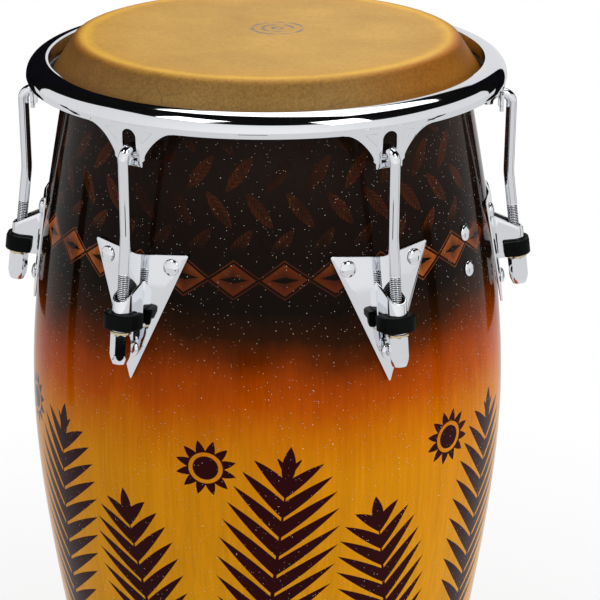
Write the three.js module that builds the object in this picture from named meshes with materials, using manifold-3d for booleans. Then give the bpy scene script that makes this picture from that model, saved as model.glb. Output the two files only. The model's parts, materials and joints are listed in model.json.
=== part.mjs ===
// A conga: a stave shell, a rawhide head on a steel flesh hoop, and a pressed crown
// that six hooked rods pull down. Nuts under six side plates tune it.
// Millimetres, +Z up. The origin is on the floor, under the middle of the drum.
import * as THREE from "three";
import { mergeVertices } from "three/addons/utils/BufferGeometryUtils.js";
import Module from "manifold-3d";

// Overall
const HEIGHT = 762; // floor to playing surface
const GAP = 0.3; // clearance between pieces that touch
const RING_SIDES = 48; // flats round each turned ring, one of them square to each lug
const LUG_COUNT = 6;
const FIRST_LUG_AZIMUTH = 30; // degrees from the front (-Y) towards +X

// Shell, with its sizes given by how far below the playing surface they lie
const CREST_RADIUS = 145.5; // top of the bearing edge
const EDGE_ROUND = 6; // radius of the bearing edge
const NECK_DROP = 10; // where the bearing edge runs into the outside of the shell
const NECK_SLOPE = 0.2; // how fast the outside widens there
const BELLY_RADIUS = 194;
const BELLY_DROP = 300;
const FOOT_RADIUS = 129;
const FOOT_SLOPE = 0.18; // how fast the outside narrows at the foot
const SHELL_WALL = 11;
const SHELL_STEPS = 5; // straight runs in each half of the outline

// Rawhide head and flesh hoop
const SKIN = 1.8;
const COLLAR_FLARE = 33.8; // degrees from the vertical
const HOOP_DROP = 31; // playing surface to the middle of the hoop's wire
const HOOP_WIRE = 6;
const LAP_STEPS = 4; // straight runs where the hide laps round the hoop

// Crown
const ROLL_RADIUS = 13.5; // outside of the rolled rim
const ROLL_RISE = 2; // middle of the roll above the middle of the hoop
const CROWN_SHEET = 3;
const SKIRT_LENGTH = 3.5; // below the middle of the roll
const SKIRT_TAPER = 0.9;
const PRESS_LEG = 4; // thickness of the leg that stands on the lapped hoop
const EAR_INSET = 1.6; // face of an ear inside the widest line of the rim
const EAR_THICKNESS = 3;
const EAR_LENGTH = 27.5; // below the skirt
const EAR_SPREAD = 36; // half the width where the fillets meet the skirt
const FILLET_LENGTH = 20; // how far down the fillets reach
const FILLET_SIDE_PULL = 3; // how far a fillet follows the side of its prong
const FILLET_SKIRT_PULL = 11; // and the edge of the skirt
const PRONG_WIDTH = 7.1;
const PRONG_TIP_WIDTH = 5.2;
const PRONG_TIP_LENGTH = 5;
const WEB_THICKNESS = 2.4; // closes the slot between the prong tips, with a round top
const WEB_RISE = 6.8; // middle of the round top above the prong tips
const WEB_GRIP = 1; // how far the web runs into each prong

// Hooked rods
const ROD_DIAMETER = 8.5;
const SLOT_PLAY = 1.5; // each side of the rod in its slot
const HOOK_PLAY_OUT = 3.05; // web to the outer leg
const HOOK_PLAY_IN = 4.75; // web to the inner leg
const HOOK_BEND = 7.6; // to the middle of the rod
const HOOK_TAIL = 1; // straight end of the inner leg
const ROD_BEND_DROP = 111.4; // where the rod leans out to follow the shell
const ROD_BEND_RADIUS = 60;
const ROD_RECESS = 3; // end of the rod inside the lower end of the nut
const ROD_SIDES = 8;

// Side plates
const PLATE_THICKNESS = 2;
const PLATE_TOP_DROP = 124.4;
const PLATE_HEIGHT = 100.2;
const PLATE_HALF_WIDTH = 41.6;
const PLATE_DIP = 5; // how far the middle of the top edge lies below its ends
const PLATE_CORNER = 3;
const BARREL_DROP = 174; // playing surface to the middle of the bumper
const BARREL_STANDOFF = 16.2; // face of the plate to the axis of the rod
const NOSE_WALL = 2;
const NOSE_PLAY = 1; // each side of the rod in the nose
const NOSE_END = 7.7; // lower end of the nose below the middle of the bumper
const MOUTH_BACK_RISE = 29; // slanted mouth above the middle of the bumper, at the plate
const MOUTH_FRONT_RISE = 15; // and at the front lip
const BUMPER_WALL = 5.3; // beside the nose
const BUMPER_FRONT_WALL = 3.5;
const BUMPER_CORNER = 9;
const BUMPER_BACK = 10.4; // open end behind the axis of the rod
const BUMPER_HEIGHT = 12;
const ROUND_STEPS = 6; // straight runs in the half round front of a nose

// Tuning nuts and the washers above them
const NUT_WASHER_DIAMETER = 16;
const NUT_WASHER_THICKNESS = 1.5;
const NUT_FLATS = 13.2;
const NUT_TIP_FLATS = 11;
const NUT_LENGTH = 22.6;
const NUT_TAPER = 6;

// Bolts through the shell
const BOLT_DIAMETER = 5;
const BOLT_HEAD_DIAMETER = 12.6;
const BOLT_HEAD_HEIGHT = 2.8;
const BOLT_STICKOUT = 1.5; // past the nut
const BOLT_SPREAD = 28; // the two upper bolts of a plate, each side of its middle
const UPPER_BOLT_DROP = 135.4;
const LOWER_BOLT_DROP = 200.8;
const WASHER_DIAMETER = 16;
const WASHER_THICKNESS = 1.5;
const BOLT_NUT_FLATS = 8;
const BOLT_NUT_HEIGHT = 4;
const BOLT_SIDES = 8;
const WASHER_SEAT = 0.6; // flat washer to the hollow side of the wall

// Pair of studs between two lugs, with a strap inside the shell
const STUD_AZIMUTH = 60;
const STUD_MIDDLE_DROP = 147.7;
const STUD_PITCH = 28.2;
const STRAP_WIDTH = 16;
const STRAP_LENGTH = 46;
const STRAP_THICKNESS = 2;

// Rubber foot ring
const FOOT_PAD = 6; // under the end of the shell
const FOOT_WALL = 3.5;
const FOOT_OUTER_HEIGHT = 22;
const FOOT_INNER_HEIGHT = 12;

const RING_STEP = 360 / RING_SIDES;
const HEX = 6;
const rad = THREE.MathUtils.degToRad;
const point = (x, y) => new THREE.Vector2(x, y);

// Finishes
const finish = (color, roughness, metalness) =>
  new THREE.MeshStandardMaterial({ color, roughness, metalness });
const LACQUER = finish(0x8a4a12, 0.15, 0);
const RAWHIDE = finish(0xc08a3a, 0.6, 0);
const CHROME = finish(0xe6e8ea, 0.12, 1);
const ZINC = finish(0xb9bcc0, 0.35, 1);
const BRASS = finish(0xc9b27c, 0.3, 1);
const RUBBER = finish(0x161718, 0.8, 0);

const wasm = await Module();
wasm.setup();

// A closed geometry as a solid that can be joined and cut.
function solid(geometry) {
  const bare = geometry.clone();
  bare.deleteAttribute("normal");
  bare.deleteAttribute("uv");
  const merged = mergeVertices(bare, 1e-4);
  const mesh = new wasm.Mesh({
    numProp: 3,
    vertProperties: merged.attributes.position.array,
    triVerts: new Uint32Array(merged.index.array),
  });
  return new wasm.Manifold(mesh);
}

// A solid back as a geometry.
function geometryOf(body) {
  const mesh = body.getMesh();
  const geometry = new THREE.BufferGeometry();
  geometry.setAttribute("position", new THREE.BufferAttribute(mesh.vertProperties, 3));
  geometry.setIndex(new THREE.BufferAttribute(mesh.triVerts, 1));
  return geometry;
}

// A closed outline turned about the Y axis, whichever way round its points run.
function turned(outline, sides, start = 0) {
  const points = outline.slice();
  const onAxis = points[0].x === 0 && points[points.length - 1].x === 0;
  if (THREE.ShapeUtils.area(points) < 0) points.reverse();
  if (!onAxis) points.push(points[0].clone());
  return new THREE.LatheGeometry(points, sides, rad(start), 2 * Math.PI);
}

// A closed outline of radius and height turned about the drum's axis.
function ring(outline) {
  return turned(outline, RING_SIDES, RING_STEP / 2).rotateX(Math.PI / 2);
}

// A point on a circle, at an angle in degrees.
function onCircle(center, radius, degrees) {
  const angle = rad(degrees);
  return point(center.x + radius * Math.cos(angle), center.y + radius * Math.sin(angle));
}

// Points on an arc between two angles in degrees.
function arc(center, radius, from, to, steps) {
  const points = [];
  for (let i = 0; i <= steps; i++) {
    points.push(onCircle(center, radius, from + ((to - from) * i) / steps));
  }
  return points;
}

// An outline drawn with x across and y up, extruded along the radius of a lug, which is x.
function facing(shape, from, to) {
  const options = { depth: to - from, bevelEnabled: false, curveSegments: 4 };
  const geometry = new THREE.ExtrudeGeometry(shape, options);
  const out = new THREE.Vector3(1, 0, 0);
  const side = new THREE.Vector3(0, 1, 0);
  const up = new THREE.Vector3(0, 0, 1);
  return geometry.applyMatrix4(new THREE.Matrix4().makeBasis(side, up, out)).translate(from, 0, 0);
}

// A polygon with its corners cut round.
function rounded(corners, radius) {
  const shape = new THREE.Shape();
  const count = corners.length;
  for (let i = 0; i < count; i++) {
    const here = corners[i];
    const before = corners[(i + count - 1) % count];
    const after = corners[(i + 1) % count];
    const into = here.clone().add(before.clone().sub(here).setLength(radius));
    const out = here.clone().add(after.clone().sub(here).setLength(radius));
    if (i === 0) shape.moveTo(into.x, into.y);
    else shape.lineTo(into.x, into.y);
    const middle = into.clone().add(out).add(here.clone().multiplyScalar(2)).divideScalar(4);
    shape.lineTo(middle.x, middle.y);
    shape.lineTo(out.x, out.y);
  }
  shape.closePath();
  return shape;
}

const at = (drop) => HEIGHT - drop;

// The hide's middle line goes over the bearing edge, down the collar and round the hoop.
const flare = rad(COLLAR_FLARE);
const edgeCenter = point(CREST_RADIUS, at(SKIN + GAP + EDGE_ROUND));
const hideBend = EDGE_ROUND + GAP + SKIN / 2;
const lapBend = HOOP_WIRE / 2 + GAP + SKIN / 2;
const lapRadius = lapBend + SKIN / 2;

// Radius at a height of a line beside the collar, offset outwards from the hide's middle line.
function collarRadius(height, offset) {
  const reach = (hideBend + offset) / Math.cos(flare);
  return edgeCenter.x + reach + (edgeCenter.y - height) * Math.tan(flare);
}
const hoop = point(collarRadius(at(HOOP_DROP), lapBend), at(HOOP_DROP));

// Outside of the shell, from the bearing edge down to the foot.
const neck = point(collarRadius(at(NECK_DROP), -SKIN / 2 - GAP), at(NECK_DROP));
const belly = point(BELLY_RADIUS, at(BELLY_DROP));
const foot = point(FOOT_RADIUS, FOOT_PAD + GAP);
const upperSpan = neck.y - belly.y;
const lowerSpan = belly.y - foot.y;

function shellOutline() {
  const path = new THREE.Path();
  path.moveTo(neck.x, neck.y);
  const neckPull = upperSpan / 2;
  const bellyPull = upperSpan / 4;
  const underPull = lowerSpan / 4;
  const footPull = lowerSpan / 3;
  path.bezierCurveTo(
    neck.x + NECK_SLOPE * neckPull, neck.y - neckPull,
    belly.x, belly.y + bellyPull,
    belly.x, belly.y,
  );
  path.bezierCurveTo(
    belly.x, belly.y - underPull,
    foot.x + FOOT_SLOPE * footPull, foot.y + footPull,
    foot.x, foot.y,
  );
  return path.getPoints(SHELL_STEPS);
}
const outline = shellOutline();

// The run of the outline that holds a height.
function wallRun(height) {
  const last = outline.length - 1;
  for (let i = 1; i < last; i++) {
    if (height >= outline[i].y) return [outline[i - 1], outline[i]];
  }
  return [outline[last - 1], outline[last]];
}

function wallRadius(height) {
  const [top, bottom] = wallRun(height);
  return bottom.x + ((height - bottom.y) * (top.x - bottom.x)) / (top.y - bottom.y);
}

function wallSlope(height) {
  const [top, bottom] = wallRun(height);
  return (bottom.x - top.x) / (top.y - bottom.y);
}

// A line that follows the wall between two heights, at a distance outside it.
function alongWall(top, bottom, offset) {
  const between = outline.filter((p) => p.y < top && p.y > bottom);
  const heights = [top, ...between.map((p) => p.y), bottom];
  return heights.map((height) => point(wallRadius(height) + offset, height));
}

// Distance from the axis to the flat of a ring at an azimuth.
function onFlat(radius, azimuth) {
  const off = azimuth - Math.round(azimuth / RING_STEP) * RING_STEP;
  return (radius * Math.cos(rad(RING_STEP / 2))) / Math.cos(rad(off));
}

// A frame on the outside of the wall: y points out of it, x along it sideways.
function wallFrame(azimuth, height) {
  const out = new THREE.Vector3(Math.sin(rad(azimuth)), -Math.cos(rad(azimuth)), 0);
  const side = new THREE.Vector3(Math.cos(rad(azimuth)), Math.sin(rad(azimuth)), 0);
  const normal = out.clone().add(new THREE.Vector3(0, 0, wallSlope(height))).normalize();
  const down = side.clone().cross(normal);
  const origin = out.multiplyScalar(onFlat(wallRadius(height), azimuth));
  origin.z = height;
  return new THREE.Matrix4().makeBasis(side, normal, down).setPosition(origin);
}

// Places of the lugs and bolts
const lugAzimuth = (index) => FIRST_LUG_AZIMUTH + (index * 360) / LUG_COUNT;

// The bolts of one plate, each at an azimuth from the middle of the plate and a height.
function plateBoltPlaces() {
  const upper = at(UPPER_BOLT_DROP);
  const turn = THREE.MathUtils.radToDeg(Math.asin(BOLT_SPREAD / wallRadius(upper)));
  return [
    { name: "left", azimuth: -turn, height: upper },
    { name: "right", azimuth: turn, height: upper },
    { name: "low", azimuth: 0, height: at(LOWER_BOLT_DROP) },
  ];
}

const studFrame = wallFrame(STUD_AZIMUTH, at(STUD_MIDDLE_DROP));

// How far behind the outside of the wall the flat strap lies, clear of the hollow side all along.
function strapDepth() {
  const middle = at(STUD_MIDDLE_DROP);
  const lean = Math.atan(wallSlope(middle));
  const reach = (STRAP_LENGTH / 2) * Math.cos(lean) + STRAP_THICKNESS;
  const inside = alongWall(middle + reach, middle - reach, -SHELL_WALL);
  const depths = inside.map(
    (p) => (wallRadius(middle) - p.x) * Math.cos(lean) - (p.y - middle) * Math.sin(lean),
  );
  return Math.max(...depths) + GAP;
}

// The frames of the two studs, one above the other.
function studFrames() {
  return [-0.5, 0.5].map((share) =>
    studFrame.clone().multiply(new THREE.Matrix4().makeTranslation(0, 0, share * STUD_PITCH)),
  );
}

// Thickness of the wall square to its outside.
const wallDepth = (height) => SHELL_WALL * Math.cos(Math.atan(wallSlope(height)));

// Shell
const holeRadius = BOLT_DIAMETER / 2 + GAP / Math.cos(Math.PI / BOLT_SIDES);

function boltHole(frame, length) {
  const drill = new THREE.CylinderGeometry(holeRadius, holeRadius, 2 * length, BOLT_SIDES);
  return solid(drill.applyMatrix4(frame));
}

function shellGeometry() {
  const innerTop = Math.min(neck.x - SHELL_WALL, CREST_RADIUS - 1);
  const bevel = (CREST_RADIUS - innerTop) / 3;
  const crest = point(CREST_RADIUS, edgeCenter.y + EDGE_ROUND);
  const edge = onCircle(edgeCenter, EDGE_ROUND, COLLAR_FLARE);
  const inside = outline.slice(1).map((p) => point(p.x - SHELL_WALL, p.y));
  const inner = [point(innerTop, crest.y - bevel), ...inside];
  const profile = [crest, edge, ...outline, ...inner.reverse()];
  let body = solid(ring(profile));
  for (let i = 0; i < LUG_COUNT; i++) {
    for (const place of plateBoltPlaces()) {
      const frame = wallFrame(lugAzimuth(i) + place.azimuth, place.height);
      body = body.subtract(boltHole(frame, 2 * SHELL_WALL));
    }
  }
  for (const frame of studFrames()) body = body.subtract(boltHole(frame, 2 * SHELL_WALL));
  return geometryOf(body);
}

// Head
function headGeometry() {
  const over = arc(edgeCenter, hideBend, 90, COLLAR_FLARE, 2);
  const line = [point(0, over[0].y), ...over, ...lapLine()];
  const upper = offsetLine(line, SKIN / 2);
  const lower = offsetLine(line, -SKIN / 2);
  return ring([...upper, ...lower.reverse()]);
}

// The hide's middle line round the hoop, in straight runs that clear it, ending on top.
function lapLine() {
  const from = 180 + COLLAR_FLARE;
  const to = 450;
  const half = (to - from) / LAP_STEPS / 2;
  const corners = arc(hoop, lapBend / Math.cos(rad(half)), from + half, to - half, LAP_STEPS - 1);
  return [...corners, onCircle(hoop, lapBend, to)];
}

// A line moved sideways by a distance, to the left of its way.
function offsetLine(line, distance) {
  return line.map((here, i) => {
    const into = line[i].clone().sub(line[Math.max(i - 1, 0)]);
    const out = line[Math.min(i + 1, line.length - 1)].clone().sub(here);
    if (i === 0) into.copy(out);
    if (i === line.length - 1) out.copy(into);
    const bisector = into.normalize().add(out.normalize()).normalize();
    const reach = distance / bisector.dot(out);
    return point(here.x - bisector.y * reach, here.y + bisector.x * reach);
  });
}

function hoopGeometry() {
  return ring(arc(hoop, HOOP_WIRE / 2, 0, 300, HEX - 1));
}

// Crown
const rollCenter = point(hoop.x, hoop.y + ROLL_RISE);
const rimRadius = rollCenter.x + ROLL_RADIUS;
const skirtBottom = rollCenter.y - SKIRT_LENGTH;
const earFace = rimRadius - EAR_INSET;
const prongTip = skirtBottom - EAR_LENGTH;
const slotHalf = ROD_DIAMETER / 2 + SLOT_PLAY;
const saddle = point(earFace - EAR_THICKNESS + WEB_THICKNESS / 2, prongTip + WEB_RISE);

function rimOutline() {
  const inside = ROLL_RADIUS - CROWN_SHEET;
  const legFoot = hoop.y + lapRadius + GAP;
  const lip = 180 - THREE.MathUtils.radToDeg(Math.acos(PRESS_LEG / ROLL_RADIUS));
  return [
    point(hoop.x - PRESS_LEG, legFoot),
    ...arc(rollCenter, ROLL_RADIUS, lip, 0, 5),
    point(rimRadius - SKIRT_TAPER, skirtBottom),
    point(rimRadius - SKIRT_TAPER - CROWN_SHEET, skirtBottom),
    ...arc(rollCenter, inside, 0, 90, 3),
    point(hoop.x, legFoot),
  ];
}

// The flat shape of an ear, with its fillets and its two prongs still joined.
function earShape(top) {
  const side = slotHalf + PRONG_WIDTH;
  const tip = slotHalf + PRONG_TIP_WIDTH;
  const filletEnd = skirtBottom - FILLET_LENGTH;
  const step = prongTip + PRONG_TIP_LENGTH;
  const alongSide = filletEnd + FILLET_SIDE_PULL;
  const alongSkirt = EAR_SPREAD - FILLET_SKIRT_PULL;
  const shape = new THREE.Shape();
  shape.moveTo(-EAR_SPREAD, top);
  shape.lineTo(-EAR_SPREAD, skirtBottom);
  shape.bezierCurveTo(-alongSkirt, skirtBottom, -side, alongSide, -side, filletEnd);
  shape.lineTo(-side, step);
  shape.lineTo(-tip, step);
  shape.lineTo(-tip, prongTip);
  shape.lineTo(tip, prongTip);
  shape.lineTo(tip, step);
  shape.lineTo(side, step);
  shape.lineTo(side, filletEnd);
  shape.bezierCurveTo(side, alongSide, alongSkirt, skirtBottom, EAR_SPREAD, skirtBottom);
  shape.lineTo(EAR_SPREAD, top);
  shape.closePath();
  return shape;
}

function slotShape() {
  const archBase = skirtBottom - slotHalf;
  const shape = new THREE.Shape();
  shape.moveTo(-slotHalf, prongTip - 1);
  shape.lineTo(slotHalf, prongTip - 1);
  shape.lineTo(slotHalf, archBase);
  shape.absarc(0, archBase, slotHalf, 0, Math.PI, false);
  shape.closePath();
  return shape;
}

// The web between two prongs, with the round top that a hook sits on.
function webBody() {
  const width = 2 * (slotHalf + WEB_GRIP);
  const wall = new THREE.BoxGeometry(WEB_THICKNESS, width, WEB_RISE);
  wall.translate(saddle.x, 0, prongTip + WEB_RISE / 2);
  const top = new THREE.CylinderGeometry(WEB_THICKNESS / 2, WEB_THICKNESS / 2, width, 2 * HEX);
  top.translate(saddle.x, 0, 0).translate(0, 0, saddle.y);
  return solid(wall).add(solid(top));
}

// One ear on the band that it is bent to, with its slot and the web across it.
function earBody() {
  const top = rollCenter.y;
  const inside = earFace - EAR_THICKNESS;
  const band = ring([
    point(inside, prongTip),
    point(earFace, prongTip),
    point(earFace, top),
    point(inside, top),
  ]);
  const low = inside - EAR_THICKNESS;
  const high = earFace + EAR_THICKNESS;
  return solid(band)
    .intersect(solid(facing(earShape(top), low, high)))
    .subtract(solid(facing(slotShape(), low, high)))
    .add(webBody());
}

function crownGeometry() {
  const ear = geometryOf(earBody());
  let body = solid(ring(rimOutline()));
  for (let i = 0; i < LUG_COUNT; i++) {
    body = body.add(solid(ear.clone().rotateZ(rad(lugAzimuth(i) - 90))));
  }
  return geometryOf(body);
}

// Hooked rod
const outerLeg = saddle.x + WEB_THICKNESS / 2 + HOOK_PLAY_OUT + ROD_DIAMETER / 2;
const innerLeg = saddle.x - WEB_THICKNESS / 2 - HOOK_PLAY_IN - ROD_DIAMETER / 2;
const hookBend = Math.min(HOOK_BEND, (outerLeg - innerLeg) / 2);
const hookTop = saddle.y + WEB_THICKNESS / 2 + GAP + ROD_DIAMETER / 2;
const plateFace = (height) => wallRadius(height) + GAP + PLATE_THICKNESS;
const barrel = point(
  onFlat(plateFace(at(BARREL_DROP)), 0) + BARREL_STANDOFF,
  at(BARREL_DROP),
);
const rodLean = Math.atan((barrel.x - outerLeg) / (at(ROD_BEND_DROP) - barrel.y));
const nutTop = -NOSE_END - GAP - NUT_WASHER_THICKNESS - GAP;
const rodEnd = nutTop - NUT_LENGTH + ROD_RECESS;

// The frame of the leaning rod in a lug's own frame: z points up along the rod.
function barrelFrame() {
  const frame = new THREE.Matrix4().makeRotationY(-rodLean);
  return frame.setPosition(barrel.x, 0, barrel.y);
}

// The middle line of a rod, in the plane of its lug.
function rodLine() {
  const innerCenter = point(innerLeg + hookBend, hookTop - hookBend);
  const outerCenter = point(outerLeg - hookBend, hookTop - hookBend);
  const leanDegrees = THREE.MathUtils.radToDeg(rodLean);
  const bendCenter = point(
    outerLeg + ROD_BEND_RADIUS,
    at(ROD_BEND_DROP) + ROD_BEND_RADIUS * Math.tan(rodLean / 2),
  );
  const end = point(
    barrel.x - rodEnd * Math.sin(rodLean),
    barrel.y + rodEnd * Math.cos(rodLean),
  );
  return [
    point(innerLeg, hookTop - hookBend - HOOK_TAIL),
    ...arc(innerCenter, hookBend, 180, 90, 4),
    ...arc(outerCenter, hookBend, 90, 0, 4),
    ...arc(bendCenter, ROD_BEND_RADIUS, 180, 180 + leanDegrees, 1),
    end,
  ];
}

// A path whose stations are the corners of a line, however far apart they are.
class StationPath extends THREE.Curve {
  constructor(stations) {
    super();
    this.stations = stations;
  }

  getPoint(share, target = new THREE.Vector3()) {
    const runs = this.stations.length - 1;
    const place = THREE.MathUtils.clamp(share, 0, 1) * runs;
    const index = Math.min(Math.floor(place), runs - 1);
    return target.lerpVectors(this.stations[index], this.stations[index + 1], place - index);
  }

  getPointAt(share, target) {
    return this.getPoint(share, target);
  }

  getSpacedPoints(divisions) {
    return this.getPoints(divisions);
  }

  getTangentAt(share, target) {
    return this.getTangent(share, target);
  }
}

function rodGeometry() {
  const stations = rodLine().map((p) => new THREE.Vector3(p.x, 0, p.y));
  const section = new THREE.Shape(
    arc(point(0, 0), ROD_DIAMETER / 2, 0, 360 - 360 / ROD_SIDES, ROD_SIDES - 1),
  );
  return new THREE.ExtrudeGeometry(section, {
    steps: stations.length - 1,
    extrudePath: new StationPath(stations),
  });
}

// Side plate with its nose
const noseRadius = ROD_DIAMETER / 2 + NOSE_PLAY + NOSE_WALL;

// A section that is half round in front and runs straight back towards the drum.
function noseSection(radius) {
  const back = -BARREL_STANDOFF - ROD_DIAMETER;
  const front = arc(point(0, 0), radius, -90, 90, ROUND_STEPS);
  return new THREE.Shape([point(back, -radius), ...front, point(back, radius)]);
}

function noseBody() {
  const top = MOUTH_BACK_RISE + noseRadius;
  const depth = top + NOSE_END;
  const frame = barrelFrame();
  const extrude = (shape, from, length) =>
    solid(
      new THREE.ExtrudeGeometry(shape, { depth: length, bevelEnabled: false })
        .translate(0, 0, from)
        .applyMatrix4(frame),
    );
  const outer = extrude(noseSection(noseRadius), -NOSE_END, depth);
  const bore = extrude(noseSection(noseRadius - NOSE_WALL), -NOSE_END - 1, depth + 2);
  const cutter = solid(mouthCutter());
  const coreTop = at(PLATE_TOP_DROP / 2);
  const coreBottom = at(PLATE_TOP_DROP + PLATE_HEIGHT);
  const face = alongWall(coreTop, coreBottom, GAP + PLATE_THICKNESS / 2);
  const core = solid(ring([point(0, coreTop), ...face, point(0, coreBottom)]));
  return outer.subtract(bore).subtract(cutter).subtract(core);
}

// What lies above the slanted mouth of the nose.
function mouthCutter() {
  const back = point(plateFace(barrel.y + MOUTH_BACK_RISE), barrel.y + MOUTH_BACK_RISE);
  const front = point(barrel.x + noseRadius, barrel.y + MOUTH_FRONT_RISE);
  const way = front.clone().sub(back);
  const start = back.clone().sub(way);
  const end = front.clone().add(way);
  const top = barrel.y + 4 * MOUTH_BACK_RISE;
  const shape = new THREE.Shape([start, end, point(end.x, top), point(start.x, top)]);
  const width = 4 * noseRadius;
  const geometry = new THREE.ExtrudeGeometry(shape, { depth: width, bevelEnabled: false });
  return geometry.rotateX(Math.PI / 2).translate(0, width / 2, 0);
}

function plateGeometry() {
  const top = at(PLATE_TOP_DROP);
  const tip = top - PLATE_HEIGHT;
  const inner = alongWall(top + 1, tip - 1, GAP);
  const outer = alongWall(top + 1, tip - 1, GAP + PLATE_THICKNESS);
  const corners = [
    point(0, top - PLATE_DIP),
    point(-PLATE_HALF_WIDTH, top),
    point(0, tip),
    point(PLATE_HALF_WIDTH, top),
  ];
  const shape = rounded(corners, PLATE_CORNER);
  let body = solid(ring([...outer, ...inner.reverse()]))
    .intersect(solid(facing(shape, CREST_RADIUS, barrel.x)))
    .add(noseBody());
  for (const place of plateBoltPlaces()) {
    body = body.subtract(boltHole(wallFrame(90 + place.azimuth, place.height), 2 * SHELL_WALL));
  }
  return geometryOf(body);
}

// A rubber clip round the nose, open at the back, with a flat front and round corners.
function bumperGeometry() {
  const inner = noseRadius + GAP;
  const half = inner + BUMPER_WALL;
  const front = inner + BUMPER_FRONT_WALL;
  const corner = Math.min(BUMPER_CORNER, half, front);
  const turn = (side, from, to) =>
    arc(point(front - corner, side * (half - corner)), corner, from, to, ROUND_STEPS / 2);
  const shape = new THREE.Shape([
    point(-BUMPER_BACK, -half),
    ...turn(-1, -90, 0),
    ...turn(1, 0, 90),
    point(-BUMPER_BACK, half),
    point(-BUMPER_BACK, inner),
    ...arc(point(0, 0), inner, 90, -90, ROUND_STEPS),
    point(-BUMPER_BACK, -inner),
  ]);
  return new THREE.ExtrudeGeometry(shape, { depth: BUMPER_HEIGHT, bevelEnabled: false })
    .translate(0, 0, -BUMPER_HEIGHT / 2);
}

// A ring with a square section between two heights on the leaning rod.
function collar(inner, outer, top, bottom, sides) {
  const section = [point(inner, bottom), point(outer, bottom), point(outer, top), point(inner, top)];
  return turned(section, sides).rotateX(Math.PI / 2);
}

function nutWasherGeometry() {
  const top = -NOSE_END - GAP;
  const inner = (ROD_DIAMETER / 2 + GAP) / Math.cos(Math.PI / (2 * HEX));
  return collar(inner, NUT_WASHER_DIAMETER / 2, top, top - NUT_WASHER_THICKNESS, 2 * HEX);
}

function tuningNutGeometry() {
  const corner = (flats) => flats / 2 / Math.cos(Math.PI / HEX);
  const bore = corner(ROD_DIAMETER + 2 * GAP);
  const bottom = nutTop - NUT_LENGTH;
  const section = [
    point(bore, bottom),
    point(corner(NUT_TIP_FLATS), bottom),
    point(corner(NUT_FLATS), bottom + NUT_TAPER),
    point(corner(NUT_FLATS), nutTop),
    point(bore, nutTop),
  ];
  return turned(section, HEX).rotateX(Math.PI / 2);
}

// Bolts through the wall, each with its washer and nut tightened on it as one piece.
// They are drawn along y, with the outside of the wall at y = 0.
function boltGeometry(seat, depth, washerThickness) {
  const shank = BOLT_DIAMETER / 2;
  const head = BOLT_HEAD_DIAMETER / 2;
  const washerTop = -depth;
  const nutBottom = washerTop - washerThickness - BOLT_NUT_HEIGHT;
  const end = nutBottom - BOLT_STICKOUT;
  const bolt = turned(
    [
      point(0, end),
      point(shank, end),
      point(shank, seat),
      point(head, seat),
      point(0.75 * head, seat + 0.75 * BOLT_HEAD_HEIGHT),
      point(0, seat + BOLT_HEAD_HEIGHT),
    ],
    BOLT_SIDES,
  );
  const corner = BOLT_NUT_FLATS / 2 / Math.cos(Math.PI / HEX);
  const nut = new THREE.CylinderGeometry(corner, corner, BOLT_NUT_HEIGHT, HEX);
  nut.translate(0, nutBottom + BOLT_NUT_HEIGHT / 2, 0);
  const joined = solid(bolt).add(solid(nut));
  if (washerThickness === 0) return geometryOf(joined);
  const radius = WASHER_DIAMETER / 2;
  const washer = new THREE.CylinderGeometry(radius, radius, washerThickness, BOLT_SIDES);
  washer.translate(0, washerTop - washerThickness / 2, 0);
  return geometryOf(joined.add(solid(washer)));
}

const plateSeat = PLATE_THICKNESS + 2 * GAP;

function plateBoltGeometry(place) {
  const depth = wallDepth(place.height) + WASHER_SEAT;
  const bolt = boltGeometry(plateSeat, depth, WASHER_THICKNESS);
  return bolt.applyMatrix4(wallFrame(90 + place.azimuth, place.height));
}

// The studs bear on the shell outside and on a strap inside.
const studBolt = boltGeometry(GAP, strapDepth() + STRAP_THICKNESS + GAP, 0);

function strapGeometry() {
  const middle = -strapDepth() - STRAP_THICKNESS / 2;
  const bar = new THREE.BoxGeometry(STRAP_WIDTH, STRAP_THICKNESS, STRAP_LENGTH);
  bar.translate(0, middle, 0).applyMatrix4(studFrame);
  let body = solid(bar);
  for (const frame of studFrames()) body = body.subtract(boltHole(frame, 2 * SHELL_WALL));
  return geometryOf(body);
}

// Foot ring, a channel that the end of the shell stands in
function footGeometry() {
  const outerTop = FOOT_OUTER_HEIGHT;
  const innerTop = FOOT_INNER_HEIGHT;
  const inside = (height) => wallRadius(height) - SHELL_WALL - GAP;
  const outside = (height) => wallRadius(height) + GAP;
  return ring([
    point(inside(foot.y) - FOOT_WALL, 0),
    point(outside(foot.y) + FOOT_WALL, 0),
    point(outside(outerTop) + FOOT_WALL, outerTop),
    point(outside(outerTop), outerTop),
    point(outside(foot.y), FOOT_PAD),
    point(inside(foot.y), FOOT_PAD),
    point(inside(foot.y), innerTop),
    point(inside(foot.y) - FOOT_WALL, innerTop),
  ]);
}

// The assembly
const conga = new THREE.Group();

function addPiece(name, geometry, material, parent = conga) {
  const mesh = new THREE.Mesh(geometry, material);
  mesh.name = name;
  parent.add(mesh);
}

addPiece("shell", shellGeometry(), LACQUER);
addPiece("rubber_foot", footGeometry(), RUBBER);
addPiece("flesh_hoop", hoopGeometry(), ZINC);
addPiece("head_skin", headGeometry(), RAWHIDE);
addPiece("crown", crownGeometry(), CHROME);
addPiece("inner_strap", strapGeometry(), ZINC);
studFrames().forEach((frame, index) => {
  const name = ["stud_bolt_upper", "stud_bolt_lower"][index];
  addPiece(name, studBolt.clone().applyMatrix4(frame), CHROME);
});

const plate = plateGeometry();
const boltPlaces = plateBoltPlaces();
const plateBolts = boltPlaces.map(plateBoltGeometry);
const rod = rodGeometry();
const bumper = bumperGeometry();
const nutWasher = nutWasherGeometry();
const tuningNut = tuningNutGeometry();

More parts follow.
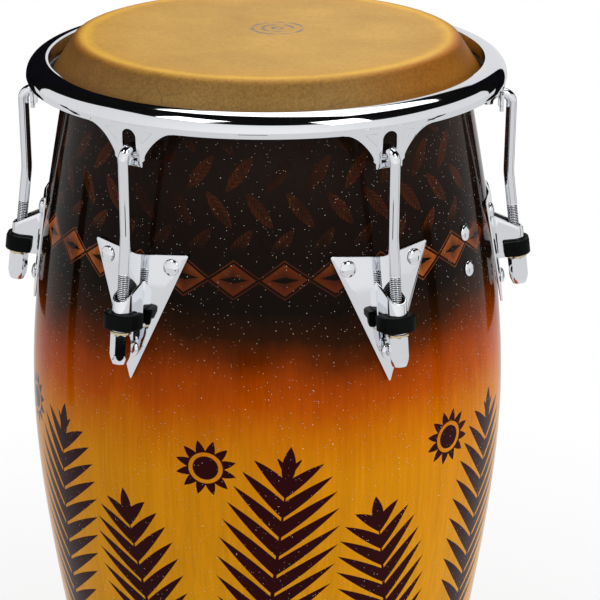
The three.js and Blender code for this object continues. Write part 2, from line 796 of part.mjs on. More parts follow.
for (let i = 0; i < LUG_COUNT; i++) {
  const lug = new THREE.Group();
  lug.rotation.z = rad(lugAzimuth(i) - 90);
  conga.add(lug);
  const number = i + 1;
  addPiece(`side_plate_${number}`, plate, CHROME, lug);
  plateBolts.forEach((bolt, index) => {
    addPiece(`plate_bolt_${number}_${boltPlaces[index].name}`, bolt, CHROME, lug);
  });
  addPiece(`tension_rod_${number}`, rod, CHROME, lug);
  const onRod = new THREE.Group();
  onRod.position.set(barrel.x, 0, barrel.y);
  onRod.rotation.y = -rodLean;
  lug.add(onRod);
  addPiece(`rubber_bumper_${number}`, bumper, RUBBER, onRod);
  addPiece(`nut_washer_${number}`, nutWasher, BRASS, onRod);
  addPiece(`tuning_nut_${number}`, tuningNut, CHROME, onRod);
}

export default conga;
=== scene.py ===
import json
import math

import bmesh
import bpy
from mathutils import Matrix, Quaternion, Vector, geometry, noise


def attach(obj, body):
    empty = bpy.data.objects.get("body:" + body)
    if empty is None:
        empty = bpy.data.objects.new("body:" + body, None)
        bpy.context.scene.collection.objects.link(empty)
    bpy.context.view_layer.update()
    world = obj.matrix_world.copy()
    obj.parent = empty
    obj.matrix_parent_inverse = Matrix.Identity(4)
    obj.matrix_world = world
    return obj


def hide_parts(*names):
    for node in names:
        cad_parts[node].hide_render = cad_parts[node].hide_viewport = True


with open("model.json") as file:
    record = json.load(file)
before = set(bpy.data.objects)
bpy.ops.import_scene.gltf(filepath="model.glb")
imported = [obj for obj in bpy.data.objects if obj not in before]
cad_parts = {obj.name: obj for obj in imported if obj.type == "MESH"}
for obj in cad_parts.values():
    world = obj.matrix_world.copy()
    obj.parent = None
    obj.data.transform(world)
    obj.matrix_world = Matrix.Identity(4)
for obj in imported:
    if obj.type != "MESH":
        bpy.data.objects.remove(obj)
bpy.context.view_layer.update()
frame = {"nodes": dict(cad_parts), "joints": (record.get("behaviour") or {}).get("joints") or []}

# Sizes that the pieces share, in metres, as in the CAD frame.
MM = 0.001
HEIGHT = 762 * MM
GAP = 0.3 * MM
LUG_COUNT = 6
FIRST_LUG_AZIMUTH = 30
FLAT_SHARE = math.cos(math.pi / 48)  # the CAD's turned rings have 48 flats

# Shell
CREST_RADIUS = 145.5 * MM
EDGE_ROUND = 6 * MM
NECK = Vector((154.0, 752.0)) * MM
NECK_SLOPE = 0.2
BELLY = Vector((194.0, 462.0)) * MM
FOOT = Vector((129.0, 6.3)) * MM
FOOT_SLOPE = 0.18
SHELL_WALL = 11 * MM

# Head and hoop
SKIN = 1.8 * MM
COLLAR_FLARE = 33.8
PUCKER = 0.35 * MM
PUCKER_WAVES = 9
PUCKER_START = HEIGHT - 6 * MM
PUCKER_REACH = 12 * MM
HIDE_ON_COLLAR = 22  # points of the hide's line before it meets the hoop
HOOP = Vector((174.6, 731.0)) * MM
HOOP_WIRE = 6 * MM
EDGE_CENTER = Vector((CREST_RADIUS, HEIGHT - SKIN - GAP - EDGE_ROUND))  # of the rounded bearing edge

# Crown
ROLL = Vector((174.6, 733.0)) * MM
ROLL_RADIUS = 13.5 * MM
CROWN_SHEET = 3 * MM
SKIRT_BOTTOM = 729.5 * MM
SKIRT_TAPER = 0.9 * MM
SKIRT_SOFTNESS = 0.8 * MM
PRESS_LEG = 4 * MM
EAR_FACE = 186.5 * MM
EAR_THICKNESS = 3 * MM
EAR_PROUD = 0.08 * MM
EAR_SETBACK = 7 * MM  # height over which the ear's face sets back from the rim's
EAR_SOFTNESS = 0.5 * MM
EAR_TOP = ROLL.y + 2.5 * MM
EAR_PRESS = 0.3 * MM
EAR_ON_RIM = 0.5  # share of the ear's thickness that lies on the rim
EAR_SPREAD = 36 * MM
FILLET_END = 709.5 * MM
FILLET_SIDE_PULL = 3 * MM
FILLET_SKIRT_PULL = 11 * MM
PRONG_TIP = 702.0 * MM
PRONG_STEP = 707.0 * MM
SLOT_HALF = 5.75 * MM
PRONG_WIDTH = 7.1 * MM
PRONG_TIP_WIDTH = 5.2 * MM
PRONG_ROUND = 0.8 * MM
EAR_TRIANGLE = ((10.7 * MM, 719.4 * MM), (20.6 * MM, 729.0 * MM), (10.7 * MM, 729.0 * MM))
CURL = 3 * MM
CURL_TOP = 719 * MM
CURL_LENGTH = 12 * MM
CURL_SHARE = 0.8
CURL_END = 0.97  # how far round its curve the curl goes
SADDLE = Vector((184.7, 708.8)) * MM
WEB_THICKNESS = 2.4 * MM
WEB_HOLLOW = 0.7 * MM

# Rods
ROD_DIAMETER = 8.5 * MM
OUTER_LEG = 193.2 * MM
INNER_LEG = 174.5 * MM
HOOK_TOP = 714.55 * MM
HOOK_BEND = 7.6 * MM
HOOK_TAIL = 1 * MM
ROD_BEND = 650.6 * MM
ROD_BEND_RADIUS = 60 * MM
ROD_END = -29.4 * MM
THREAD_PITCH = 1.411 * MM
THREAD_DEPTH = 0.8 * MM
THREAD_TOP = 36 * MM
THREAD_BOTTOM = -4 * MM
ROWS_PER_THREAD = 8

# Side plates and what hangs on them
PLATE_THICKNESS = 2 * MM
PLATE_TOP = HEIGHT - 124.4 * MM
PLATE_TIP = PLATE_TOP - 100.2 * MM
PLATE_DIP = 5 * MM
PLATE_HALF_WIDTH = 41.6 * MM
PLATE_CORNER = 3 * MM
PLATE_SOFTNESS = 0.45 * MM
WING_STAND = 1.2 * MM
WING_SLOPE = 0.125
WING_BEND = 3.5 * MM
NOSE_RADIUS = 7.25 * MM
NOSE_WALL = 2 * MM
NOSE_END = -7.7 * MM
NOSE_FLARE = 2.2 * MM
NOSE_SOFTNESS = 0.35 * MM
INNER_WALL_FACE = 7  # place in a nose ring of the face towards the rod
MOUTH_BACK_RISE = 29 * MM
MOUTH_FRONT_RISE = 15 * MM
BARREL_STANDOFF = 16.2 * MM
BUMPER_HALF = 12.85 * MM
BUMPER_FRONT = 11.05 * MM
BUMPER_CORNER = 9 * MM
BUMPER_BACK = 10.4 * MM
BUMPER_HEIGHT = 12 * MM
BUMPER_SOFTNESS = 1.2 * MM
NUT_TOP = -9.8 * MM
NUT_LENGTH = 22.6 * MM
NUT_FLATS = 13.2 * MM
NUT_TIP_RADIUS = 5.5 * MM
NUT_TAPER = 7.5 * MM
NUT_CHAMFER = ((0.0, 0.9 * MM), (0.25 * MM, 0.45 * MM), (0.55 * MM, 0.0), (0.8 * MM, 0.0))
NUT_TURNS = (8, 22, 40, 12, 33, 35)  # degrees that each nut stopped at
NUT_WASHER_RADIUS = 8 * MM
NUT_WASHER_THICKNESS = 1.5 * MM

# Bolts
BOLT_RADIUS = 2.5 * MM
BOLT_HEAD_RADIUS = 6.3 * MM
BOLT_HEAD_HEIGHT = 2.8 * MM
BOLT_HEAD_EDGE = 0.12  # share of the head's height that its rim has
BOLT_SPREAD = 28 * MM
UPPER_BOLT = HEIGHT - 135.4 * MM
LOWER_BOLT = HEIGHT - 200.8 * MM
BOLT_WASHER_RADIUS = 8 * MM
BOLT_WASHER_THICKNESS = 1.5 * MM
BOLT_NUT_FLATS = 8 * MM
BOLT_NUT_HEIGHT = 4 * MM
BOLT_STICKOUT = 1.5 * MM
BOLT_WASHER_GAP = 0.6 * MM
BOLT_LIFT = 0.2 * MM
STUD_AZIMUTH = 60
STUD_MIDDLE = HEIGHT - 147.7 * MM
STUD_PITCH = 28.2 * MM
STUD_STRAP = 3.2 * MM  # the strap and its play between wall and nut

# Foot
FOOT_PAD = 6 * MM
FOOT_WALL = 3.5 * MM
FOOT_OUTER_HEIGHT = 22 * MM
FOOT_INNER_HEIGHT = 12 * MM
FOOT_SOFTNESS = 1.2 * MM

LATHE_SIDES = 240
SMALL_SIDES = 48
BEVEL_STEPS = 3


# Small helpers

def clamp(value):
    """The value, held between 0 and 1."""
    return max(0.0, min(1.0, value))


def flat_points(*pairs):
    return [Vector(pair) for pair in pairs]


def way_at(line, i):
    """The way an open line runs at one of its points, as one step before it to one after."""
    return line[min(i + 1, len(line) - 1)] - line[max(i - 1, 0)]


def hexagon_corner(flats):
    return flats / 2 / math.cos(math.pi / 6)


def place_with(x_way, y_way, z_way, origin):
    """A matrix with the given axes and origin."""
    place = Matrix((x_way, y_way, z_way)).transposed().to_4x4()
    place.translation = origin
    return place


# Lines and outlines

def on_circle(center, radius, degrees):
    angle = math.radians(degrees)
    return Vector((center[0] + radius * math.cos(angle), center[1] + radius * math.sin(angle)))


def arc(center, radius, start, end, steps):
    return [on_circle(center, radius, start + (end - start) * i / steps) for i in range(steps + 1)]


def bezier(a, b, c, d, share):
    rest = 1 - share
    return a * rest**3 + b * (3 * rest * rest * share) + c * (3 * rest * share * share) + d * share**3


def shell_curves():
    """The two curves of the shell's outside, from the neck to the belly and on to the foot."""
    upper = (NECK.y - BELLY.y) / 2
    lower = (BELLY.y - FOOT.y) / 3
    neck_pull = Vector((NECK_SLOPE * upper, -upper))
    foot_pull = Vector((FOOT_SLOPE * lower, lower))
    above = (NECK, NECK + neck_pull, BELLY + Vector((0, upper / 2)), BELLY)
    below = (BELLY, BELLY - Vector((0, lower * 3 / 4)), FOOT + foot_pull, FOOT)
    return above, below


def shell_outline(steps):
    above, below = shell_curves()
    line = [bezier(*above, i / steps) for i in range(steps + 1)]
    line += [bezier(*below, i / steps) for i in range(1, steps + 1)]
    return [Vector((p.x * FLAT_SHARE, p.y)) for p in line]


WALL_LINE = shell_outline(60)


def wall_radius(height):
    """Outside radius of the shell at a height."""
    for high, low in zip(WALL_LINE, WALL_LINE[1:]):
        if height >= low.y:
            break
    share = (height - low.y) / (high.y - low.y)
    return low.x + share * (high.x - low.x)


def wall_slope(height):
    step = 2 * MM
    return (wall_radius(height - step) - wall_radius(height + step)) / (2 * step)


def corner_round(corners, radius, steps=4):
    """A polygon with each corner replaced by an arc that starts a length `radius` before it."""
    line = []
    count = len(corners)
    for i, here in enumerate(corners):
        before = here + (corners[i - 1] - here).normalized() * radius
        after = here + (corners[(i + 1) % count] - here).normalized() * radius
        for k in range(steps + 1):
            t = k / steps
            line.append(before * (1 - t) ** 2 + here * (2 * t * (1 - t)) + after * t * t)
    return line


def inset(line, distance):
    """A closed line moved to its left, which is inwards when it runs anticlockwise."""
    moved = []
    count = len(line)
    for i, here in enumerate(line):
        into = (here - line[i - 1]).normalized()
        out = (line[(i + 1) % count] - here).normalized()
        bisector = Vector((-(into.y + out.y), into.x + out.x))
        if bisector.length < 1e-6:
            bisector = Vector((-into.y, into.x))
        bisector.normalize()
        reach = distance / max(0.3, bisector.dot(Vector((-out.y, out.x))))
        moved.append(here + bisector * reach)
    return moved


def inside(point, polygon):
    """Whether a flat point lies in a polygon."""
    hit = False
    for a, b in zip(polygon, polygon[1:] + polygon[:1]):
        if (a.y > point.y) != (b.y > point.y):
            if point.x < a.x + (point.y - a.y) * (b.x - a.x) / (b.y - a.y):
                hit = not hit
    return hit


# Meshes

class Shape:
    """Points and faces that grow piece by piece into one mesh."""

    def __init__(self):
        self.points = []
        self.faces = []
        self.slots = []

    def add(self, points, faces, slot=0):
        start = len(self.points)
        self.points += [Vector(p) for p in points]
        self.faces += [[start + i for i in face] for face in faces]
        self.slots += [slot] * len(faces)
        return self

    def moved(self, matrix):
        self.points = [matrix @ p for p in self.points]
        return self

    def join(self, other):
        slots = other.slots
        self.add(other.points, other.faces)
        self.slots[len(self.slots) - len(slots):] = slots
        return self

    def mesh(self, name, sharp=35):
        data = bpy.data.meshes.new(name)
        data.from_pydata(self.points, [], self.faces)
        data.polygons.foreach_set("material_index", self.slots)
        work = bmesh.new()
        work.from_mesh(data)
        bmesh.ops.remove_doubles(work, verts=work.verts, dist=1e-7)
        bmesh.ops.recalc_face_normals(work, faces=work.faces)
        work.to_mesh(data)
        work.free()
        data.shade_smooth()
        data.set_sharp_from_angle(angle=math.radians(sharp))
        return data


def lathe(outline, sides=LATHE_SIDES, shift=None, slots=None):
    """A closed outline of radius and height turned about the z axis. Ends on the axis stay open.
    `shift` moves a point by its place in the outline and its angle."""
    shape = Shape()
    on_axis = outline[0][0] < 1e-9 and outline[-1][0] < 1e-9
    rows = []
    for k, (radius, height) in enumerate(outline):
        if radius < 1e-9:
            rows.append([len(shape.points)])
            shape.points.append(Vector((0, 0, height)))
            continue
        rows.append(list(range(len(shape.points), len(shape.points) + sides)))
        for i in range(sides):
            angle = 2 * math.pi * i / sides
            r, h = (radius, height) if shift is None else shift(k, radius, height, angle)
            shape.points.append(Vector((r * math.cos(angle), r * math.sin(angle), h)))
    pairs = list(zip(rows, rows[1:]))
    if not on_axis:
        pairs.append((rows[-1], rows[0]))
    for k, (a, b) in enumerate(pairs):
        for i in range(sides):
            j = (i + 1) % sides
            face = [a[i % len(a)], a[j % len(a)], b[j % len(b)], b[i % len(b)]]
            shape.faces.append(list(dict.fromkeys(face)))
            shape.slots.append(0 if slots is None else slots[k])
    return shape


def grid_points(outline, margin, spacing, pressed):
    """Points of a square grid inside an outline and clear of the areas pressed into it."""
    clear = inset(outline, margin)
    kept_free = [inset(area, -0.3 * spacing) for area, _, _ in pressed]
    low_u = min(p.x for p in outline)
    high_u = max(p.x for p in outline)
    low_v = min(p.y for p in outline)
    high_v = max(p.y for p in outline)
    points = []
    for i in range(int((high_u - low_u) / spacing) + 1):
        for j in range(int((high_v - low_v) / spacing) + 1):
            p = Vector((low_u + (i + 0.5) * spacing, low_v + (j + 0.5) * spacing))
            if inside(p, clear) and not any(inside(p, area) for area in kept_free):
                points.append(p)
    return points


def sheet(outline, place, thickness, bevel, spacing, pressed=()):
    """A flat outline, anticlockwise, made into a sheet with rounded edges. `place(u, v, depth)` gives
    a point at a depth behind the front. `pressed` holds (outline, depth, slope) areas set into it."""
    rims = []
    for k in range(BEVEL_STEPS + 1):
        angle = math.pi / 2 * k / BEVEL_STEPS
        rims.append((inset(outline, bevel * (1 - math.sin(angle))), bevel * (1 - math.cos(angle))))
    border = rims[0][0]
    lines = [(border, 0.0)]
    for area, depth, slope in pressed:
        lines += [(area, 0.0), (inset(area, slope), depth)]
    front = []
    edges = []
    for line, depth in lines:
        start = len(front)
        edges += [(start + i, start + (i + 1) % len(line)) for i in range(len(line))]
        front += [(p, depth) for p in line]
    front += [(p, 0.0) for p in grid_points(outline, bevel + spacing * 0.45, spacing, pressed)]
    corners, _, triangles, origins, *_ = geometry.delaunay_2d_cdt([p for p, _ in front], edges, [], 0, 1e-9)
    depths = [front[origin[0]][1] if origin else 0.0 for origin in origins]
    kept = [list(t) for t in triangles if inside(sum((corners[i] for i in t), Vector((0, 0))) / 3, border)]
    shape = Shape()
    shape.add([place(p.x, p.y, d) for p, d in zip(corners, depths)], kept)
    shape.add([place(p.x, p.y, thickness) for p in corners], [list(reversed(t)) for t in kept])
    rows = [[place(p.x, p.y, depth) for p in line] for line, depth in rims]
    rows += [[place(p.x, p.y, thickness - depth) for p in line] for line, depth in reversed(rims)]
    return shape.join(skin_rows(rows))


def skin_rows(rows):
    """Closed rings of points, skinned one to the next."""
    shape = Shape()
    count = len(rows[0])
    faces = []
    for k in range(len(rows) - 1):
        for i in range(count):
            j = (i + 1) % count
            faces.append([k * count + i, k * count + j, (k + 1) * count + j, (k + 1) * count + i])
    return shape.add([p for row in rows for p in row], faces)


def capped(rows):
    """Closed rings skinned, with a face over each end."""
    shape = skin_rows(rows)
    count = len(rows[0])
    last = (len(rows) - 1) * count
    shape.faces += [list(range(count - 1, -1, -1)), list(range(last, last + count))]
    shape.slots += [0, 0]
    return shape


def put_in_scene(name, data):
    piece = bpy.data.objects.new(name, data)
    bpy.context.scene.collection.objects.link(piece)
    return piece


def show(name, data, materials, body="root", nodes=None, matrix=Matrix()):
    """Puts a mesh in the scene as a piece that rides on a body and stands for CAD nodes, by default
    the node of its own name."""
    nodes = nodes or [name]
    if not data.materials:
        for material in materials:
            data.materials.append(material)
    piece = put_in_scene(name, data)
    piece.matrix_world = matrix
    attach(piece, body)
    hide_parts(*nodes)


def show_at_lugs(name, data, materials, body="root", matrix=Matrix()):
    """A piece at each lug, in the lug's own frame. A # in the names stands for the lug's number."""
    for number, lug in lugs():
        own, rides_on = (words.replace("#", str(number)) for words in (name, body))
        show(own, data, materials, rides_on, matrix=lug @ matrix)


# Places of lugs

def lugs():
    """Each lug's number and its own frame: x out of the drum, y sideways, z up."""
    for number in range(1, LUG_COUNT + 1):
        azimuth = FIRST_LUG_AZIMUTH + 360 / LUG_COUNT * (number - 1)
        yield number, Matrix.Rotation(math.radians(azimuth - 90), 4, "Z")


def barrel_place():
    """The middle of the bumper and the lean of the rod, in a lug's frame, from the first nut's joint."""
    joint = next(j for j in frame["joints"] if j["name"] == "nut_1_spin")
    x, y, z = joint["pos_m"]
    return Vector((math.hypot(x, y), z)), math.acos(joint["axis"][2])


BARREL, ROD_LEAN = barrel_place()
ROD_WAY = Vector((-math.sin(ROD_LEAN), math.cos(ROD_LEAN)))
BARREL_FRAME = Matrix.Translation((BARREL.x, 0, BARREL.y)) @ Matrix.Rotation(-ROD_LEAN, 4, "Y")


def wall_frame(azimuth, height):
    """A frame on the outside of the wall: z points out of it, x sideways."""
    angle = math.radians(azimuth)
    out = Vector((math.cos(angle), math.sin(angle), 0))
    side = Vector((-math.sin(angle), math.cos(angle), 0))
    normal = (out + Vector((0, 0, wall_slope(height)))).normalized()
    up = normal.cross(side)
    return place_with(side, up, normal, out * wall_radius(height) + Vector((0, 0, height)))


# Node trees

class Value:
    """An output of a node. Arithmetic with it adds Math nodes to its tree."""

    def __init__(self, nodes, socket):
        self.nodes = nodes
        self.socket = socket

    def math(self, operation, *values):
        return self.nodes.math(operation, self, *values)

    def __add__(self, other):
        return self.math("ADD", other)

    def __sub__(self, other):
        return self.math("SUBTRACT", other)

    def __rsub__(self, other):
        return self.nodes.math("SUBTRACT", other, self)

    def __mul__(self, other):
        return self.math("MULTIPLY", other)

    def __truediv__(self, other):
        return self.math("DIVIDE", other)

    def __abs__(self):
        return self.math("ABSOLUTE")

    def larger(self, other):
        return self.math("MAXIMUM", other)

    def scale(self, low, high, to_low, to_high, kind="LINEAR"):
        """Turns low to high into to_low to to_high, and stops at both ends."""
        numbers = (self, low, high, to_low, to_high)
        return self.nodes.value("MapRange", enumerate(numbers), interpolation_type=kind)

    def step(self, low, high):
        """0 below low and 1 above high, smooth between them."""
        return self.scale(low, high, 0.0, 1.0, "SMOOTHSTEP")

    def blend(self, low, high):
        """From number low to number high, by this share."""
        return (1.0 - self) * low + self * high

    def mix(self, low, high):
        """From colour low to colour high, by this share."""
        return self.nodes.mix(self, low, high, "MIX")

    def shade(self, tint):
        """This colour darkened by another."""
        return self.nodes.mix(1.0, self, tint, "MULTIPLY")

    def ramp(self, *stops):
        """Colours along this share. Each stop is its place and its colour as written in an image."""
        return self.nodes.ramp(self, [(place, srgb(*color)) for place, *color in stops])


class Nodes:
    """A node tree, with short ways to add nodes to it."""

    def __init__(self, tree):
        self.tree = tree

    def put(self, socket, value):
        if isinstance(value, Value):
            self.tree.links.new(value.socket, socket)
        else:
            socket.default_value = value

    def values(self, outs, kind, inputs=(), **settings):
        """Outputs of a new node. Its inputs and outputs go by name or number."""
        made = self.tree.nodes.new("ShaderNode" + kind)
        for key, value in settings.items():
            setattr(made, key, value)
        for key, value in dict(inputs).items():
            self.put(made.inputs[key], value)
        return [Value(self, made.outputs[out]) for out in outs]

    def value(self, kind, inputs=(), out=0, **settings):
        return self.values((out,), kind, inputs, **settings)[0]

    def math(self, operation, *values):
        return self.value("Math", enumerate(values), operation=operation)

    def mix(self, share, low, high, kind):
        inputs = {0: share, 6: low, 7: high}
        return self.value("Mix", inputs, 2, data_type="RGBA", blend_type=kind)

    def ramp(self, share, stops):
        """Colours along a share, from pairs of a place and a colour."""
        made = self.value("ValToRGB", {0: share})
        elements = made.socket.node.color_ramp.elements
        while len(elements) < len(stops):
            elements.new(0.5)
        for element, (place, color) in zip(elements, stops):
            element.position = place
            element.color = color
        return made

    def split(self, vector):
        return self.values((0, 1, 2), "SeparateXYZ", {0: vector})

    def place(self):
        """The point on the object, in metres."""
        return self.value("TexCoord", out="Object")

    def stretched(self, scale):
        """The point on the object, with its height scaled, so that patterns run along the grain."""
        return self.value("Mapping", {"Vector": self.place(), "Scale": (1, 1, scale)})

    def noise(self, place, scale, detail=3.0, rough=0.5):
        inputs = {"Vector": place, "Scale": scale, "Detail": detail, "Roughness": rough}
        return self.value("TexNoise", inputs)

    def seen_by(self):
        """1 for camera rays, and 1 for rays that come off gloss or through glass."""
        rays = ("Is Camera Ray", "Is Glossy Ray", "Is Transmission Ray")
        camera, glossy, passed = self.values(rays, "LightPath")
        return camera, glossy.larger(passed)


class Paint(Nodes):
    """The node tree of a material."""

    def __init__(self, name):
        self.material = bpy.data.materials.new(name)
        self.material.use_nodes = True
        super().__init__(self.material.node_tree)
        self.shader = self.tree.nodes["Principled BSDF"]

    def bump(self, height, strength, distance):
        inputs = {"Strength": strength, "Distance": distance, "Height": height}
        self.put(self.shader.inputs["Normal"], self.value("Bump", inputs))

    def finish(self, color, roughness, specular=0.5, metallic=0.0):
        inputs = self.shader.inputs
        self.put(inputs["Base Color"], color)
        self.put(inputs["Roughness"], roughness)
        inputs["Specular IOR Level"].default_value = specular
        inputs["Metallic"].default_value = metallic
        return self.material


def linear(value):
    value = value / 255
    return value / 12.92 if value <= 0.04045 else ((value + 0.055) / 1.055) ** 2.4


def srgb(red, green, blue):
    """A colour as written in an image, as linear values."""
    return (linear(red), linear(green), linear(blue), 1.0)


def distance(a, b):
    return (a * a + b * b).math("SQRT")


# Painted patterns. Their sizes are in millimetres on the shell.

NECK_SIXTH = 180.0  # a sixth of the way round the shell at the leaves
BAND_SIXTH = 184.0
FROND_SIXTH = 190.0
SUN_SIXTH = 192.0
LEAF_ROW = 26.0
LEAF_SHIFT = 0.083
LEAF_HALF = (17.0, 5.0)
LEAF_LEAN = 52
LEAF_TOP = (40.0, 54.0)
LEAF_END = (112.0, 122.0)
VEIN_PITCH = 4.0
VEIN_SLANT = 1.2
BAND_MIDDLE = 141.0
LOZENGE_HALF = (17.0, 12.0)
LOZENGE_SLIT = (0.62, 0.2)
FROND_BASE = 395.0
FRONDS = (  # sideways place, drop, lean in degrees, length, reach of the leaflets, their pitch
    (48.0, 0.0, 84, 112.0, 42.0, 17.0),
    (-44.0, 34.0, 98, 98.0, 36.0, 16.0),
)
LEAFLET_SLANT = 0.9
LEAFLET_HALF = 0.42
STEM_HALF = 1.2
SUN_MIDDLE = 286.0
SUN_RADIUS = 12.0
SUN_DISC = 0.8
SUN_GAP = 1.02
SUN_RAY_ROOT = 1.15
SUN_RAY_LENGTH = 0.75
SUN_RAYS = 12
RING_PITCH = 8 * MM
RING_MIDDLE = (8 * MM, 13.5 * MM)
RING_END = (22 * MM, 23 * MM)


def turn_and_height(paint):
    """The angle round the drum in sixths of a turn, and the depth below the head in millimetres."""
    x, y, z = paint.split(paint.place())
    return x.math("ARCTAN2", y * -1.0) * (3 / math.pi), (HEIGHT - z) * (1 / MM)


def cell(value, width):
    """Where a value lies in cells of a width: its offset from the cell's middle, and the cell."""
    share = value / width
    number = share.math("FLOOR")
    return (share - number - 0.5) * width, number


def turned_axes(across, up, degrees):
    sine = math.sin(math.radians(degrees))
    cosine = math.cos(math.radians(degrees))
    return across * cosine + up * sine, up * cosine - across * sine


def filled(room):
    """1 where there is room left to a pattern's edge and 0 past it, soft over half a millimetre."""
    return room.step(-0.15, 0.35)


def within(value, length):
    return (length - abs(value)).step(0.0, 0.5)


def leaf(along, beside, half_length, half_width):
    """A pointed leaf: 1 inside it, 0 outside."""
    share = along / half_length
    return filled((1.0 - share * share) * half_width - abs(beside))


def frond(across, up, degrees, length, reach, pitch):
    """A palm frond: pointed leaflets that slant up from a stem, and one at its tip."""
    along, beside = turned_axes(across, up, degrees)
    aside = abs(beside)
    slanted = along - aside * LEAFLET_SLANT
    offset, number = cell(slanted, pitch)
    root = (number + 0.5) * pitch / length
    swell = (1.0 - root * root).larger(0.0).math("SQRT")
    out = aside / (swell * reach + 2.0)
    leaflets = filled((1.0 - out * out) * (pitch * LEAFLET_HALF) - abs(offset)) * within(slanted, length)
    stem = filled((1.4 - along / length) * STEM_HALF - aside) * within(along, length)
    tip = leaf(along - length, beside, pitch, pitch * 0.3)
    return leaflets.larger(stem).larger(tip)


def sun(across, up):
    """A disc with pointed rays round it."""
    away = distance(across, up)
    wave = (up.math("ARCTAN2", across) * (SUN_RAYS / math.pi)).math("PINGPONG", 1.0)
    edge = wave * (SUN_RADIUS * SUN_RAY_LENGTH) + SUN_RADIUS * SUN_RAY_ROOT
    gap = away.step(SUN_RADIUS * SUN_GAP, SUN_RADIUS * SUN_GAP + 0.6)
    return (filled(edge - away) * gap).larger(filled(SUN_RADIUS * SUN_DISC - away))


def veined_leaf(across, up, degrees):
    along, beside = turned_axes(across, up, degrees)
    offset, _ = cell(along - abs(beside) * VEIN_SLANT, VEIN_PITCH)
    veins = abs(offset).step(0.3, 1.2) * abs(beside).step(0.25, 0.9)
    return leaf(along, beside, *LEAF_HALF) * (veins * 0.65 + 0.35)


def dim_leaves(sixths, drop):
    """Rows of leaves in the dark part of the burst, each row leaning the other way."""
    up, row = cell(drop, LEAF_ROW)
    across, _ = cell(sixths + row * LEAF_SHIFT, 1 / 6)
    across = across * NECK_SIXTH
    odd = abs(row).math("MODULO", 2.0)
    leaves = odd.blend(veined_leaf(across, up, -LEAF_LEAN), veined_leaf(across, up, LEAF_LEAN))
    return leaves * (drop.step(*LEAF_TOP) * (1.0 - drop.step(*LEAF_END)))


def lozenge_band(sixths, drop):
    """A band of lozenges, each with a slim lozenge left open in it."""
    across, _ = cell(sixths, 1 / 5)
    wide = abs(across * BAND_SIXTH) / LOZENGE_HALF[0]
    high = abs(drop - BAND_MIDDLE) / LOZENGE_HALF[1]
    reach = wide + high
    slit = wide / LOZENGE_SLIT[0] + high / LOZENGE_SLIT[1]
    shade = reach.step(0.15, 1.0) * 0.55 + 0.45
    body = (1.0 - reach).step(0.0, 0.06) * shade * slit.step(0.9, 1.15)
    outline = reach.step(1.12, 1.16) * (1.0 - reach.step(1.19, 1.24))
    return body.larger(outline * 0.6)


def fronds_and_suns(sixths, drop):
    """Six pairs of tall fronds round the amber part, and a sun after each pair."""
    across, _ = cell(sixths + 0.2, 1.0)
    across = across * FROND_SIXTH
    up = FROND_BASE - drop
    tall, low = (frond(across + aside, up + lower, *form) for aside, lower, *form in FRONDS)
    across, _ = cell(sixths + 0.7, 1.0)
    return tall.larger(low).larger(sun(across * SUN_SIXTH, SUN_MIDDLE - drop))


def specks(paint, density, size, share):
    """Tiny flakes scattered through the lacquer: where they are, and each one's tint."""
    inputs = {"Vector": paint.place(), "Scale": density}
    away, color = paint.values(("Distance", "Color"), "TexVoronoi", inputs, feature="F1")
    lot, tint = paint.values((0, 1), "SeparateColor", {0: color})
    return (1.0 - away.step(size * 0.6, size)) * lot.math("GREATER_THAN", 1 - share), tint


def faded_mark(paint, x, y):
    """Worn rings on the head, off its middle."""
    away = distance(x - RING_MIDDLE[0], y - RING_MIDDLE[1])
    rings = (away / RING_PITCH).math("PINGPONG", 0.5).step(0.30, 0.36)
    worn = paint.noise(paint.place(), 120, 3).step(0.35, 0.6)
    return rings * (1.0 - away.step(*RING_END)) * worn * 0.85


def creases(paint):
    """Painted shade in a few fine wrinkles where the hide was pulled down: a mask of thin lines."""
    inputs = {"Vector": paint.stretched(0.6), "Scale": 38}
    away = paint.value("TexVoronoi", inputs, "Distance", feature="DISTANCE_TO_EDGE")
    return (1.0 - away.step(0.004, 0.03)) * paint.noise(paint.place(), 9, 2).step(0.54, 0.66)


# Materials

COLLAR_START = (143 * MM, 150 * MM)
# Painted shade on the collar's sides: each side's sign, where it starts in millimetres, and the colour it is
# darkened by.
COLLAR_SIDE_SHADES = ((1.0, 40, (0.95, 0.62, 0.10, 1)), (-1.0, 60, (0.80, 0.64, 0.45, 1)))
COLLAR_SIDE_SHADE_WIDTH = 90


def wood_burst(paint, drop, cloud):
    """Near black at the top, through burnt orange to amber, with the grain of the staves."""
    ground = ((drop + (cloud - 0.5) * 46.0) / 400.0).ramp(
        (0.0, 40, 28, 22), (0.15, 34, 23, 18), (0.25, 22, 12, 8), (0.40, 17, 9, 4),
        (0.455, 46, 20, 4), (0.50, 98, 36, 2), (0.545, 152, 58, 1), (0.60, 178, 76, 1),
        (0.66, 198, 108, 2), (0.75, 212, 134, 6), (1.0, 214, 144, 12),
    )
    fine = paint.noise(paint.stretched(0.035), 420, 3, 0.6)
    broad = paint.noise(paint.stretched(0.05), 60, 3, 0.6)
    grain = fine * 0.5 + broad * 0.5
    return ground.shade(grain.scale(0.35, 0.65, 0.86, 1.1))


